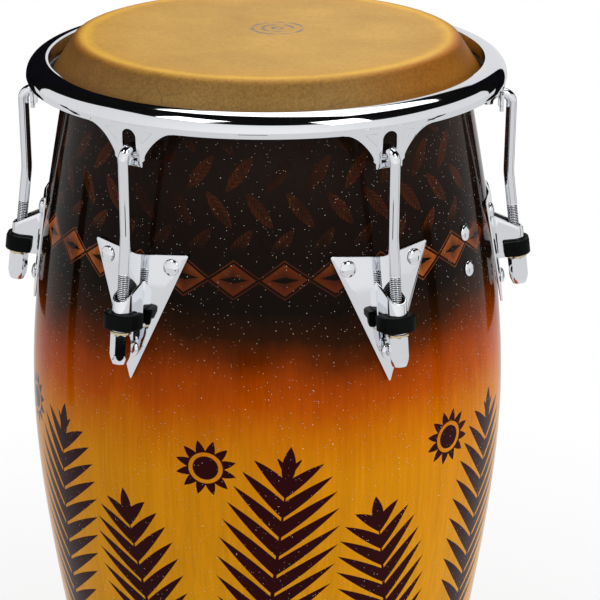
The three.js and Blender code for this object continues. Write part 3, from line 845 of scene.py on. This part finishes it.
def lacquer():
    """Glossy sunburst over wood, with painted patterns and flakes."""
    paint = Paint("lacquer")
    sixths, drop = turn_and_height(paint)
    cloud = paint.noise(paint.stretched(0.6), 14, 4, 0.6)
    smoke = cloud.step(0.36, 0.66)
    color = wood_burst(paint, drop, cloud)
    color = dim_leaves(sixths, drop).mix(color, smoke.mix(srgb(32, 14, 7), srgb(78, 36, 14)))
    color = lozenge_band(sixths, drop).mix(color, smoke.mix(srgb(88, 36, 12), srgb(186, 98, 40)))
    color = fronds_and_suns(sixths, drop).mix(color, srgb(44, 5, 8))
    flakes, tint = specks(paint, 400, 0.13, 0.17)
    fine, _ = specks(paint, 640, 0.2, 0.12)
    silver = tint.mix(srgb(180, 156, 120), srgb(255, 250, 240))
    return paint.finish(flakes.larger(fine * 0.7).mix(color, silver), 0.06, specular=0.045)


def bare_wood():
    """Unfinished wood inside the shell."""
    paint = Paint("bare_wood")
    grain = paint.noise(paint.stretched(0.04), 160, 5, 0.6)
    paint.bump(grain, 0.3, 0.3 * MM)
    return paint.finish(grain.ramp((0.3, 146, 106, 66), (0.7, 196, 156, 108)), 0.75)


def tinted_collar(color, collar, x):
    """The collar's colour with painted shade: darker and more saturated towards its right and left."""
    for side, start, tint in COLLAR_SIDE_SHADES:
        aside = (x * side).step(start * MM, (start + COLLAR_SIDE_SHADE_WIDTH) * MM)
        color = (aside * collar).mix(color, color.shade(tint))
    return color


def rawhide():
    """Tan hide: even on top, with a painted highlight where it bends over the edge, brown and pebbled on the
    collar, with painted shade on the collar's sides, in its wrinkles and where it laps round the hoop.
    """
    paint = Paint("rawhide")
    x, y, _ = paint.split(paint.place())
    radius = distance(x, y)
    collar = radius.step(*COLLAR_START)
    blotch = paint.noise(paint.place(), 16, 5, 0.6)
    fine = paint.noise(paint.place(), 260, 4, 0.65)
    pebble = paint.noise(paint.place(), 520, 2, 0.5)
    # Tones by radius. The bright stop at 0.708 is a painted highlight where the hide bends over the bearing
    # edge.
    color = ((radius + (blotch - 0.5) * 0.006) / 0.2).ramp(
        (0.0, 206, 160, 74), (0.55, 206, 160, 72), (0.67, 208, 158, 66), (0.708, 234, 182, 58),
        (0.732, 206, 154, 54), (0.755, 150, 112, 54), (0.80, 158, 124, 66), (0.845, 152, 117, 62),
        # painted shade: near black past 174 mm, where the hide laps round the hoop under the rim
        (0.87, 30, 21, 14),
    )
    # Painted shade: the collar darker and more saturated towards its sides.
    color = tinted_collar(color, collar, x)
    color = color.shade(blotch.ramp((0.3, 232, 228, 220), (0.7, 255, 255, 255)))
    color = color.shade(fine.ramp((0.3, 238, 234, 228), (0.7, 255, 255, 255)))
    color = collar.mix(color, color.shade(pebble.ramp((0.3, 232, 228, 220), (0.62, 255, 255, 255))))
    # Painted shade: the collar's wrinkles darkened to brown.
    color = (creases(paint) * collar * 0.45).mix(color, srgb(84, 58, 30))
    color = faded_mark(paint, x, y).mix(color, srgb(104, 108, 122))
    paint.bump(fine + blotch * 2.0 + pebble * collar * 2.0, 0.45, 0.3 * MM)
    return paint.finish(color, 0.45, specular=0.14)


def metal(name, color, rough, wear=0.03):
    """Polished or plated metal with faint handling marks in its roughness."""
    paint = Paint(name)
    marks = paint.noise(paint.place(), 90, 4, 0.6)
    tone = marks.mix(tuple(0.97 * c for c in color[:3]) + (1.0,), color)
    return paint.finish(tone, marks.scale(0.3, 0.7, rough, rough + wear), metallic=1.0)


def rubber():
    """Matt black rubber with a fine pebble."""
    paint = Paint("rubber")
    fine = paint.noise(paint.place(), 900, 3, 0.6)
    paint.bump(fine, 0.25, 0.15 * MM)
    return paint.finish(fine.ramp((0.3, 4, 5, 5), (0.7, 9, 11, 11)), 0.5, specular=0.06)


LACQUER = lacquer()
BARE_WOOD = bare_wood()
RAWHIDE = rawhide()
CHROME = metal("chrome", srgb(236, 238, 242), 0.03)
RAW_STEEL = metal("raw_steel", srgb(84, 85, 88), 0.4, 0.1)
THREAD_STEEL = metal("thread_steel", srgb(78, 80, 84), 0.35, 0.05)
ZINC = metal("zinc", srgb(196, 198, 202), 0.32, 0.12)
BRASS = metal("brass", srgb(222, 206, 166), 0.2, 0.08)
RUBBER = rubber()


# Turned pieces

def make_shell():
    top = [Vector((p.x * FLAT_SHARE, p.y)) for p in arc(EDGE_CENTER, EDGE_ROUND, 90, COLLAR_FLARE, 8)]
    inner_radius = min(NECK.x - SHELL_WALL, CREST_RADIUS - 1 * MM)
    outer = top + shell_outline(36)
    inner = [Vector((inner_radius * FLAT_SHARE, top[0].y - 1 * MM))]
    inner += [Vector((p.x - SHELL_WALL, p.y)) for p in shell_outline(18)[1:]]
    outline = outer + inner[::-1]
    slots = [0] * (len(outer) - 1) + [1] * (len(inner) + 1)
    show("shell", lathe(outline, slots=slots).mesh("shell"), [LACQUER, BARE_WOOD])


def make_foot():
    inner = wall_radius(FOOT.y) - SHELL_WALL - GAP
    outer = wall_radius(FOOT.y) + GAP
    rim = wall_radius(FOOT_OUTER_HEIGHT) + GAP
    corners = flat_points(
        (inner - FOOT_WALL, 0), (outer + FOOT_WALL, 0),
        (rim + FOOT_WALL, FOOT_OUTER_HEIGHT), (rim, FOOT_OUTER_HEIGHT),
        (outer, FOOT_PAD), (inner, FOOT_PAD),
        (inner, FOOT_INNER_HEIGHT), (inner - FOOT_WALL, FOOT_INNER_HEIGHT),
    )
    data = lathe(corner_round(corners, FOOT_SOFTNESS), 192).mesh("rubber_foot", 50)
    show("rubber_foot", data, [RUBBER])


def hide_line():
    """The hide's middle line: over the bearing edge, down the collar and round the hoop."""
    bend = EDGE_ROUND + GAP + SKIN / 2
    lap = HOOP_WIRE / 2 + GAP + SKIN / 2
    line = [Vector((r * MM, EDGE_CENTER.y + bend)) for r in (0, 40, 80, 110, 130)]
    line += arc(EDGE_CENTER, bend, 90, COLLAR_FLARE, 10)
    start = line[-1]
    end = on_circle(HOOP, lap, 180 + COLLAR_FLARE)
    line += [start.lerp(end, i / 8) for i in range(1, 8)]
    line += arc(HOOP, lap, 180 + COLLAR_FLARE, 450, 20)
    return line


def offset_line(line, distance):
    moved = []
    for i, here in enumerate(line):
        way = way_at(line, i)
        normal = Vector((-way.y, way.x)).normalized()
        moved.append(here + normal * distance)
    moved[0].x = 0
    return moved


def pucker(index, height, angle, count):
    """How far the hide stands out where it is drawn down to the hoop, by its place in hide_line."""
    if index >= HIDE_ON_COLLAR:
        return 0.0
    round_drum = (PUCKER_WAVES * math.cos(angle), PUCKER_WAVES * math.sin(angle), 40 * height)
    wave = noise.noise(Vector(round_drum))
    depth = clamp((PUCKER_START - height) / PUCKER_REACH)
    lap_end = max(0.0, (index - (count - 9)) / 8)
    return wave * PUCKER * depth * (1 - lap_end)


def make_head():
    line = hide_line()
    count = len(line)
    outline = offset_line(line, SKIN / 2) + offset_line(line, -SKIN / 2)[::-1]

    def shift(k, radius, height, angle):
        index = min(k, 2 * count - 1 - k)
        return radius * FLAT_SHARE + pucker(index, line[index].y, angle, count), height

    data = lathe(outline, shift=shift).mesh("head_skin", 50)
    show("head_skin", data, [RAWHIDE])


def make_hoop():
    data = lathe(arc(HOOP, HOOP_WIRE / 2 * 0.98, 0, 345, 23)).mesh("flesh_hoop")
    show("flesh_hoop", data, [ZINC])


# Crown

def rim_line():
    leg_foot = HOOP.y + HOOP_WIRE / 2 + GAP + SKIN + GAP
    lip = 180 - math.degrees(math.acos(PRESS_LEG / ROLL_RADIUS))
    outer = ROLL.x + ROLL_RADIUS - SKIRT_TAPER
    edge = SKIRT_BOTTOM + SKIRT_SOFTNESS
    line = [Vector((HOOP.x - PRESS_LEG, leg_foot))]
    line += arc(ROLL, ROLL_RADIUS, lip, 0, 28)
    line += arc((outer - SKIRT_SOFTNESS, edge), SKIRT_SOFTNESS, 0, -90, 4)
    line += arc((outer - CROWN_SHEET + SKIRT_SOFTNESS, edge), SKIRT_SOFTNESS, -90, -180, 4)
    line += arc(ROLL, ROLL_RADIUS - CROWN_SHEET, 0, 90, 14)
    line.append(Vector((HOOP.x, leg_foot)))
    return line


def make_rim():
    show("crown_rim", lathe(rim_line()).mesh("crown_rim", 40), [CHROME], "crown", ["crown"])


def ear_outline():
    side = SLOT_HALF + PRONG_WIDTH
    tip = SLOT_HALF + PRONG_TIP_WIDTH
    arch_base = SKIRT_BOTTOM - SLOT_HALF
    fillet_ends = flat_points(
        (side, FILLET_END), (side, FILLET_END + FILLET_SIDE_PULL),
        (EAR_SPREAD - FILLET_SKIRT_PULL, SKIRT_BOTTOM), (EAR_SPREAD, SKIRT_BOTTOM),
    )
    fillet = [bezier(*fillet_ends, i / 14) for i in range(15)]
    right = arc((0, arch_base), SLOT_HALF, 90, 0, 10)
    right += [Vector((SLOT_HALF, arch_base - (arch_base - PRONG_TIP) * i / 5)) for i in range(1, 6)]
    right += arc((tip - PRONG_ROUND, PRONG_TIP + PRONG_ROUND), PRONG_ROUND, -90, 0, 3)
    right += [Vector((tip, PRONG_STEP - 1 * MM)), Vector((side, PRONG_STEP + 0.6 * MM))]
    right += fillet + [Vector((EAR_SPREAD, EAR_TOP))]
    left = [Vector((-p.x, p.y)) for p in right[:0:-1]]
    return right + left


def ear_face(height):
    """Radius of the ear's outer face: it leaves the rim's own face and sets back a little."""
    if height > ROLL.y:
        face = ROLL.x + math.sqrt(ROLL_RADIUS**2 - (height - ROLL.y) ** 2)
    else:
        face = ROLL.x + ROLL_RADIUS - SKIRT_TAPER * min(1, (ROLL.y - height) / (ROLL.y - SKIRT_BOTTOM))
    proud = EAR_PROUD * min(1.0, (ROLL.y + 1 * MM - height) / (3 * MM))
    share = clamp((SKIRT_BOTTOM - height) / EAR_SETBACK)
    share = share * share * (3 - 2 * share)
    return (face + proud) * (1 - share) + EAR_FACE * share


def ear_curl(u, v):
    """How far the ear's front turns in towards the slot, between its two prongs."""
    low = clamp((CURL_TOP - v) / CURL_LENGTH)
    near = max(0.0, min(CURL_END, (SLOT_HALF + CURL - abs(u)) / CURL))
    return CURL * CURL_SHARE * low * (1 - math.sqrt(1 - near * near))


def ear_place(u, v, depth):
    radius = ear_face(v)
    front = ear_curl(u, v)
    inward = front + depth / EAR_THICKNESS * (EAR_THICKNESS - front)
    if v > SKIRT_BOTTOM:
        inward *= EAR_ON_RIM
    return Vector((math.sqrt(radius * radius - u * u) - inward, u, v))


def ear_triangle(side):
    """The small pressed triangle beside the slot."""
    corners = [Vector((side * u, v)) for u, v in EAR_TRIANGLE]
    return corner_round(corners[::side], 0.5 * MM, 2)


def ear_shape():
    pressed = [(ear_triangle(side), EAR_PRESS, EAR_PRESS) for side in (1, -1)]
    return sheet(ear_outline(), ear_place, EAR_THICKNESS, EAR_SOFTNESS, 1.6 * MM, pressed)


def web_shape():
    """The web that closes the slot between the prong tips. A hook sits on its round top."""
    half = SLOT_HALF + 1 * MM
    radius = WEB_THICKNESS / 2
    low = PRONG_TIP + radius
    line = arc(SADDLE, radius, 0, 180, 10)
    line += arc((SADDLE.x, low), radius, 180, 360, 10)
    for i in range(1, 6):
        hollow = WEB_HOLLOW * math.sin(math.pi * i / 6)
        line.append(Vector((SADDLE.x + radius - hollow, low + (SADDLE.y - low) * i / 6)))
    return capped([[Vector((p.x, y, p.y)) for p in line] for y in (-half, half)])


def make_ears():
    ear = ear_shape().mesh("crown_ear", 32)
    web = web_shape().mesh("crown_web", 40)
    for number, lug in lugs():
        for name, data in ((f"crown_ear_{number}", ear), (f"crown_web_{number}", web)):
            show(name, data, [CHROME], "crown", ["crown"], lug)


# Rods

def rod_stations():
    """The middle line of a rod in the plane of its lug, as (radius, height)."""
    inner = Vector((INNER_LEG + HOOK_BEND, HOOK_TOP - HOOK_BEND))
    outer = Vector((OUTER_LEG - HOOK_BEND, HOOK_TOP - HOOK_BEND))
    bend = Vector((OUTER_LEG + ROD_BEND_RADIUS, ROD_BEND + ROD_BEND_RADIUS * math.tan(ROD_LEAN / 2)))
    line = [Vector((INNER_LEG, HOOK_TOP - HOOK_BEND - HOOK_TAIL))]
    line += arc(inner, HOOK_BEND, 180, 90, 12)
    line += arc(outer, HOOK_BEND, 90, 0, 12)
    line += arc(bend, ROD_BEND_RADIUS, 180, 180 + math.degrees(ROD_LEAN), 4)
    rows = int((THREAD_TOP - THREAD_BOTTOM) / THREAD_PITCH * ROWS_PER_THREAD)
    for i in range(rows + 1):
        line.append(on_rod(THREAD_TOP + (THREAD_BOTTOM - THREAD_TOP) * i / rows))
    line.append(on_rod(ROD_END))
    return line


def on_rod(along):
    """A point of the leaning rod, in the plane of its lug."""
    return BARREL + ROD_WAY * along


def rod_radius(station, angle):
    """The rod's radius, cut by a helical thread near its lower end."""
    radius = ROD_DIAMETER / 2
    along = (station - BARREL).dot(ROD_WAY)
    if not THREAD_BOTTOM <= along <= THREAD_TOP:
        return radius
    phase = (along / THREAD_PITCH + angle / (2 * math.pi)) % 1
    wave = max(0.0, abs(phase * 2 - 1) - 0.3) / 0.7
    runout = min(1.0, (THREAD_TOP - along) / (2 * THREAD_PITCH))
    return radius - THREAD_DEPTH * wave * runout


def rod_shape(sides=24):
    line = rod_stations()
    rows = []
    for i, here in enumerate(line):
        way = way_at(line, i).normalized()
        across = Vector((-way.y, way.x))
        row = []
        for k in range(sides):
            angle = 2 * math.pi * k / sides
            radius = rod_radius(here, angle)
            flat = here + across * (radius * math.cos(angle))
            row.append(Vector((flat.x, radius * math.sin(angle), flat.y)))
        rows.append(row)
    shape = capped(rows)
    for k in range(len(line) - 1):
        middle = (line[k] + line[k + 1]) / 2
        for i in range(sides):
            cut = ROD_DIAMETER / 2 - rod_radius(middle, 2 * math.pi * (i + 0.5) / sides)
            if cut > THREAD_DEPTH * 0.4:
                shape.slots[k * sides + i] = 1
    return shape


def make_rods():
    rod = rod_shape().mesh("tension_rod", 50)
    show_at_lugs("tension_rod_#", rod, [CHROME, THREAD_STEEL], "rod_#")


# Side plates

def plate_place(u, v, depth):
    """A point of the plate: two flat wings that meet in a rounded bend."""
    spread = math.sqrt(u * u + WING_BEND**2) - WING_BEND
    front = wall_radius(v) + GAP + PLATE_THICKNESS + WING_STAND - WING_SLOPE * spread
    return Vector((front - depth, u, v))


def plate_outline():
    left, right = (-PLATE_HALF_WIDTH, PLATE_TOP), (PLATE_HALF_WIDTH, PLATE_TOP)
    corners = flat_points((0, PLATE_TIP), right, (0, PLATE_TOP - PLATE_DIP), left)
    return corner_round(corners, PLATE_CORNER, 5)


def nose_path():
    """Half section of the nose from the plate round the front to the plate, with its inner line.
    Each entry is (outer, inner), as (outwards, sideways) from the rod."""
    back = -BARREL_STANDOFF - 1 * MM
    inner_radius = NOSE_RADIUS - NOSE_WALL
    path = []
    for i in range(7):
        x = back * (1 - i / 7)
        flare = NOSE_FLARE * max(0.0, 1 - i * 0.9) ** 2
        path.append((Vector((x, -NOSE_RADIUS - flare)), Vector((x, -inner_radius))))
    for i in range(25):
        angle = -90 + 7.5 * i
        path.append((on_circle((0, 0), NOSE_RADIUS, angle), on_circle((0, 0), inner_radius, angle)))
    mirrored = [(Vector((o.x, -o.y)), Vector((n.x, -n.y))) for o, n in path[:7]]
    return path + mirrored[::-1]


def mouth_height(x):
    """Height of the slanted mouth above the middle of the bumper, by how far out a point lies."""
    share = (x + BARREL_STANDOFF) / (BARREL_STANDOFF + NOSE_RADIUS)
    return MOUTH_BACK_RISE + share * (MOUTH_FRONT_RISE - MOUTH_BACK_RISE)


def rounded_end(start, way, sense):
    """Four points that round one edge of the nose's wall, each with its depth from the wall's end."""
    points = []
    for k in range(4):
        angle = math.radians(30 * k if sense > 0 else 90 - 30 * k)
        side = start + way * math.cos(angle)
        points.append((side, NOSE_SOFTNESS * (1 - math.sin(angle))))
    return points


def nose_shape():
    rows = []
    for outer, inner in nose_path():
        way = (outer - inner).normalized() * NOSE_SOFTNESS
        ends = ((outer - way, way), (inner + way, -way))
        ring = []
        for (start, sideways), sense in zip(ends, (1, -1)):
            for side, down in rounded_end(start, sideways, sense):
                ring.append(Vector((side.x, side.y, mouth_height(side.x) - down)))
        for (start, sideways), sense in zip(ends[::-1], (1, -1)):
            for side, up in rounded_end(start, sideways, sense):
                ring.append(Vector((side.x, side.y, NOSE_END + up)))
        rows.append(ring)
    shape = capped(rows).moved(BARREL_FRAME)
    count = len(rows[0])
    for k in range(INNER_WALL_FACE, count * (len(rows) - 1), count):
        shape.slots[k] = 1
    return shape


def make_plates():
    shape = sheet(plate_outline(), plate_place, PLATE_THICKNESS, PLATE_SOFTNESS, 4 * MM)
    plate = shape.join(nose_shape()).mesh("side_plate", 30)
    show_at_lugs("side_plate_#", plate, [CHROME, RAW_STEEL])


def bumper_shape():
    """A rubber clip with a flat front, round corners and soft edges, open at the back."""
    inner = NOSE_RADIUS + 0.1 * MM
    lip = 2 * MM
    cut = 0.8 * MM
    corner_x = BUMPER_FRONT - BUMPER_CORNER
    corner_y = BUMPER_HALF - BUMPER_CORNER
    line = arc((-BUMPER_BACK + lip, -BUMPER_HALF + lip), lip, 180, 270, 5)
    line += arc((corner_x, -corner_y), BUMPER_CORNER, -90, 0, 12)
    line += arc((corner_x, corner_y), BUMPER_CORNER, 0, 90, 12)
    line += arc((-BUMPER_BACK + lip, BUMPER_HALF - lip), lip, 90, 180, 5)
    line += flat_points((-BUMPER_BACK, inner + cut), (-BUMPER_BACK + cut, inner))
    line += arc((0, 0), inner, 90, -90, 16)
    line += flat_points((-BUMPER_BACK + cut, -inner), (-BUMPER_BACK, -inner - cut))

    def place(u, v, depth):
        return Vector((u, v, BUMPER_HEIGHT / 2 - depth))

    return sheet(line, place, BUMPER_HEIGHT, BUMPER_SOFTNESS, 20 * MM)


def ring_shape(inner, outer, low, high, softness):
    """A flat ring, such as a washer, with softened edges."""
    corners = flat_points((inner, low), (outer, low), (outer, high), (inner, high))
    return lathe(corner_round(corners, softness, 2), SMALL_SIDES)


def nut_rows():
    """Heights of the nut's rings below its top, each with the radius of the cone that trims it."""
    corner = hexagon_corner(NUT_FLATS)
    rows = [(depth, corner - trim) for depth, trim in NUT_CHAMFER]
    rows.append((NUT_LENGTH - NUT_TAPER - 0.3 * MM, corner))
    for i in range(13):
        share = i / 12
        radius = NUT_TIP_RADIUS + (corner - NUT_TIP_RADIUS) * (1 - share**1.5)
        rows.append((NUT_LENGTH - NUT_TAPER * (1 - share), radius))
    return rows


def nut_shape(sides=72):
    """A long hexagon nut whose lower end tapers to a round tip, with a bore for the rod."""
    bore = ROD_DIAMETER / 2 + GAP
    rings = []
    for depth, cone in nut_rows():
        ring = []
        for k in range(sides):
            angle = 2 * math.pi * k / sides
            from_flat = (angle + math.pi / 6) % (math.pi / 3) - math.pi / 6
            radius = min(NUT_FLATS / 2 / math.cos(from_flat), cone)
            ring.append(Vector((radius * math.cos(angle), radius * math.sin(angle), NUT_TOP - depth)))
        rings.append(ring)
    for depth in (NUT_LENGTH, 0.0):
        ring = [on_circle((0, 0), bore, 360 * k / sides) for k in range(sides)]
        rings.append([Vector((p.x, p.y, NUT_TOP - depth)) for p in ring])
    rings.append(rings[0])
    return skin_rows(rings)


def make_tuning_hardware():
    top = NOSE_END - GAP
    washer = ring_shape(ROD_DIAMETER / 2 + GAP, NUT_WASHER_RADIUS, top - NUT_WASHER_THICKNESS, top, 0.25 * MM)
    bumper = bumper_shape().mesh("rubber_bumper", 40)
    washer = washer.mesh("nut_washer", 40)
    nut = nut_shape().mesh("tuning_nut", 11)
    for number, lug in lugs():
        place = lug @ BARREL_FRAME
        turned = place @ Matrix.Rotation(math.radians(NUT_TURNS[number - 1]), 4, "Z")
        show(f"rubber_bumper_{number}", bumper, [RUBBER], matrix=place)
        show(f"nut_washer_{number}", washer, [BRASS], matrix=place)
        show(f"tuning_nut_{number}", nut, [CHROME], f"nut_{number}", matrix=turned)


# Bolts

def dome(seat):
    """Outline of a domed head, from its middle to its rim and under it to the shank."""
    line = []
    for i in range(13):
        angle = math.pi / 2 * (1 - i / 12)
        height = BOLT_HEAD_HEIGHT * (BOLT_HEAD_EDGE + (1 - BOLT_HEAD_EDGE) * math.sin(angle))
        line.append(Vector((BOLT_HEAD_RADIUS * math.cos(angle), seat + height)))
    line[0].x = 0
    return line + flat_points((BOLT_HEAD_RADIUS, seat), (BOLT_RADIUS, seat))


def bolt_shape(seat, depth, washer_thickness):
    """A bolt through the wall, along z, with its washer and nut inside the shell."""
    nut_top = -depth - washer_thickness
    nut_low = nut_top - BOLT_NUT_HEIGHT
    end = nut_low - BOLT_STICKOUT
    chamfer = 0.4 * MM
    outline = dome(seat)
    outline += flat_points((BOLT_RADIUS, end + chamfer), (BOLT_RADIUS - chamfer, end), (0, end))
    shape = lathe(outline, SMALL_SIDES)
    if washer_thickness > 0:
        shape.join(ring_shape(BOLT_RADIUS, BOLT_WASHER_RADIUS, nut_top, -depth, 0.2 * MM))
    corner = hexagon_corner(BOLT_NUT_FLATS)
    rows = []
    for height, radius in ((nut_top, corner), (nut_low + 0.5 * MM, corner), (nut_low, corner - 0.5 * MM)):
        rows.append([Vector((*on_circle((0, 0), radius, 60 * k), height)) for k in range(6)])
    return shape.join(capped(rows))


def make_bolts():
    seat = PLATE_THICKNESS + 2 * GAP
    turn = math.degrees(math.asin(BOLT_SPREAD / wall_radius(UPPER_BOLT)))
    places = (("left", -turn, UPPER_BOLT), ("right", turn, UPPER_BOLT), ("low", 0, LOWER_BOLT))
    for side, azimuth, height in places:
        depth = SHELL_WALL * math.cos(math.atan(wall_slope(height))) + BOLT_WASHER_GAP
        lift = WING_STAND if side == "low" else BOLT_LIFT
        bolt = bolt_shape(seat + lift, depth, BOLT_WASHER_THICKNESS).mesh("plate_bolt_" + side, 40)
        show_at_lugs("plate_bolt_#_" + side, bolt, [CHROME], matrix=wall_frame(azimuth, height))


def make_studs():
    """Two domed bolts between two lugs, which hold the strap inside the shell."""
    middle = wall_frame(STUD_AZIMUTH - 90, STUD_MIDDLE)
    for name, share in (("stud_bolt_upper", 0.5), ("stud_bolt_lower", -0.5)):
        stud = bolt_shape(GAP, SHELL_WALL + STUD_STRAP, 0).mesh(name, 40)
        show(name, stud, [CHROME], matrix=middle @ Matrix.Translation((0, share * STUD_PITCH, 0)))


def dress_cad_nodes():
    """The strap inside the shell keeps its CAD mesh."""
    materials = frame["nodes"]["inner_strap"].data.materials
    materials.clear()
    materials.append(ZINC)


# Studio

CAMERA_DISTANCE = 1.5078
CAMERA_RISE = 0.3582
CAMERA_AZIMUTH = 2.0
CAMERA_PITCH = 21.13
CAMERA_YAW = 1.01
CAMERA_ROLL = 0.19
FOCAL_PIXELS = 1964.9
IMAGE_WIDTH = 600

WORLD_LIGHT = 0.66
FLOOR_GREY = (0.82, 0.82, 0.82, 1)
CARD_GREY = (0.004, 0.004, 0.006, 1)
MIRRORED_FRONT = 0.98
MIRRORED_SIDE = 0.80
MIRRORED_CEILING = 0.004
MIRRORED_FLOOR = 0.73
SOFT_BOX_DISTANCE = 1.7
SOFT_BOX_TARGET = Vector((0, -0.15, 0.75))
SOFT_BOXES = (  # name, azimuth, elevation, width, height, brightness, roll
    ("left_box", -51, 55.5, 0.66, 0.56, 2.4, 0),
    ("right_box", 46, 43, 0.56, 0.72, 3.0, 0),
    ("back_box", 160, 60, 1.7, 1.1, 1.6, -12),
    ("side_fill", 75, 15, 1.4, 1.4, 1.15, 0),
)
CARDS = (  # name, azimuth, distance, width, lower edge, upper edge
    ("nut_card", -4, 0.83, 0.18, 0.36, 0.48),
    ("right_strip", 84, 1.4, 0.14, 0.0, 0.55),
    ("left_strip", -100, 1.4, 0.14, 0.0, 0.55),
    ("right_flag", 140, 1.7, 0.56, 0.0, 1.9),
    ("left_flag", -151, 1.7, 1.2, 0.0, 1.9),
)

# How high the pale walls reach at each azimuth, in degrees. The ceiling above them is dark.
LOWEST_WALL = -25
WALL_TOPS = (
    (-180, 45), (-175, 45), (-172, -25), (-132, -25), (-126, 15), (-110, 28), (-95, 42), (-82, 46),
    (-28, 46), (0, 44), (32, 41), (60, 31), (90, 28), (110, 22), (126, 15), (130, -25),
    (149, -25), (152, 30), (170, 30), (173, 45), (180, 45),
)


def make_camera():
    data = bpy.data.cameras.new("camera")
    camera = put_in_scene("camera", data)
    bpy.context.scene.camera = camera
    data.sensor_width = 36
    data.lens = FOCAL_PIXELS / IMAGE_WIDTH * data.sensor_width
    azimuth = math.radians(CAMERA_AZIMUTH)
    right = Vector((math.cos(azimuth), math.sin(azimuth), 0))
    ahead = Vector((-math.sin(azimuth), math.cos(azimuth), 0))
    up = Vector((0, 0, 1))
    pitch = math.radians(CAMERA_PITCH)
    yaw = math.radians(CAMERA_YAW)
    view = (right * math.sin(yaw) + ahead * math.cos(yaw)) * math.cos(pitch) - up * math.sin(pitch)
    side = view.cross(up).normalized()
    origin = -ahead * CAMERA_DISTANCE + up * (HEIGHT + CAMERA_RISE)
    place = place_with(side, side.cross(view), -view, origin)
    camera.matrix_world = place @ Matrix.Rotation(math.radians(CAMERA_ROLL), 4, "Z")


def wall_top(nodes, azimuth):
    """The top of the pale walls at an azimuth, both in degrees."""
    levels = [(place / 360 + 0.5, (top - LOWEST_WALL) / 90) for place, top in WALL_TOPS]
    ramp = nodes.ramp(azimuth / 360.0 + 0.5, [(place, (level, level, level, 1)) for place, level in levels])
    return ramp * 90.0 + float(LOWEST_WALL)


def make_world():
    """Even light all round. Mirrored in metal it is pale walls under a dark studio ceiling."""
    world = bpy.data.worlds.new("studio")
    bpy.context.scene.world = world
    world.use_nodes = True
    nodes = Nodes(world.node_tree)
    camera, mirrored = nodes.seen_by()
    x, y, z = nodes.split(nodes.value("TexCoord", out="Generated"))
    ahead = y * -1.0
    azimuth = x.math("ARCTAN2", ahead).math("DEGREES")
    above_walls = z.math("ARCSINE").math("DEGREES") - wall_top(nodes, azimuth)
    walls = ahead.larger(0.0).math("POWER", 2.0).blend(MIRRORED_SIDE, MIRRORED_FRONT)
    studio = above_walls.step(-1.0, 1.0).blend(walls, MIRRORED_CEILING)
    background = world.node_tree.nodes["Background"].inputs
    background[0].default_value = (1, 1, 1, 1)
    nodes.put(background[1], camera.blend(mirrored.blend(WORLD_LIGHT, studio), 1.0))


def stage_sheet(name, corners, material):
    """A flat sheet of the studio."""
    data = bpy.data.meshes.new(name)
    data.from_pydata(corners, [], [(0, 1, 2, 3)])
    data.materials.append(material)
    piece = put_in_scene(name, data)
    return piece


def make_floor():
    """A pale floor that takes the drum's shadow and is white where it is seen."""
    paint = Paint("floor")
    material = paint.finish(FLOOR_GREY, 0.9)
    camera, mirrored = paint.seen_by()
    away = paint.value("VectorMath", {0: paint.place()}, "Value", operation="LENGTH")
    white = camera.larger(mirrored) * away.scale(0.3, 1.0, 0.55, 1.0)
    glow = paint.value("Emission", {"Strength": mirrored.blend(1.0, MIRRORED_FLOOR)})
    shaded = Value(paint, paint.shader.outputs[0])
    mixed = paint.value("MixShader", enumerate((white, shaded, glow)))
    paint.put(paint.tree.nodes["Material Output"].inputs[0], mixed)
    size = 6
    stage_sheet("floor", [(-size, -size, 0), (size, -size, 0), (size, size, 0), (-size, size, 0)], material)


def make_light(name, azimuth, elevation, width, height, brightness, roll):
    """A soft box that faces the head, by its direction from there."""
    flat, up = math.radians(azimuth), math.radians(elevation)
    way = Vector((math.cos(up) * math.sin(flat), -math.cos(up) * math.cos(flat), math.sin(up)))
    data = bpy.data.lights.new(name, "AREA")
    data.shape = "RECTANGLE"
    data.size = width
    data.size_y = height
    data.energy = 4 * width * height * brightness
    light = put_in_scene(name, data)
    light.location = SOFT_BOX_TARGET + way * SOFT_BOX_DISTANCE
    turned = (-way).to_track_quat("-Z", "Y") @ Quaternion((0, 0, 1), math.radians(roll))
    light.rotation_euler = turned.to_euler()
    light.visible_camera = False
    light.visible_glossy = name != "side_fill"


def make_card(name, azimuth, away, width, low, high):
    """A dark card that only reflections see, as the dark gap between two soft boxes."""
    angle = math.radians(azimuth)
    middle = Vector((math.sin(angle), -math.cos(angle), 0)) * away
    side = Vector((math.cos(angle), math.sin(angle), 0)) * (width / 2)
    left, right = middle - side, middle + side
    corners = [(p.x, p.y, height) for p, height in ((left, low), (right, low), (right, high), (left, high))]
    card = stage_sheet(name, corners, Paint(name).finish(CARD_GREY, 1.0, specular=0.0))
    card.visible_camera = False
    card.visible_diffuse = False
    card.visible_shadow = False
    card.visible_transmission = False


def make_studio():
    bpy.context.scene.view_settings.view_transform = "Standard"
    make_world()
    make_floor()
    for box in SOFT_BOXES:
        make_light(*box)
    for card in CARDS:
        make_card(*card)


make_camera()
make_shell()
make_foot()
make_head()
make_hoop()
make_rim()
make_ears()
make_rods()
make_plates()
make_tuning_hardware()
make_bolts()
make_studs()
dress_cad_nodes()
make_studio()
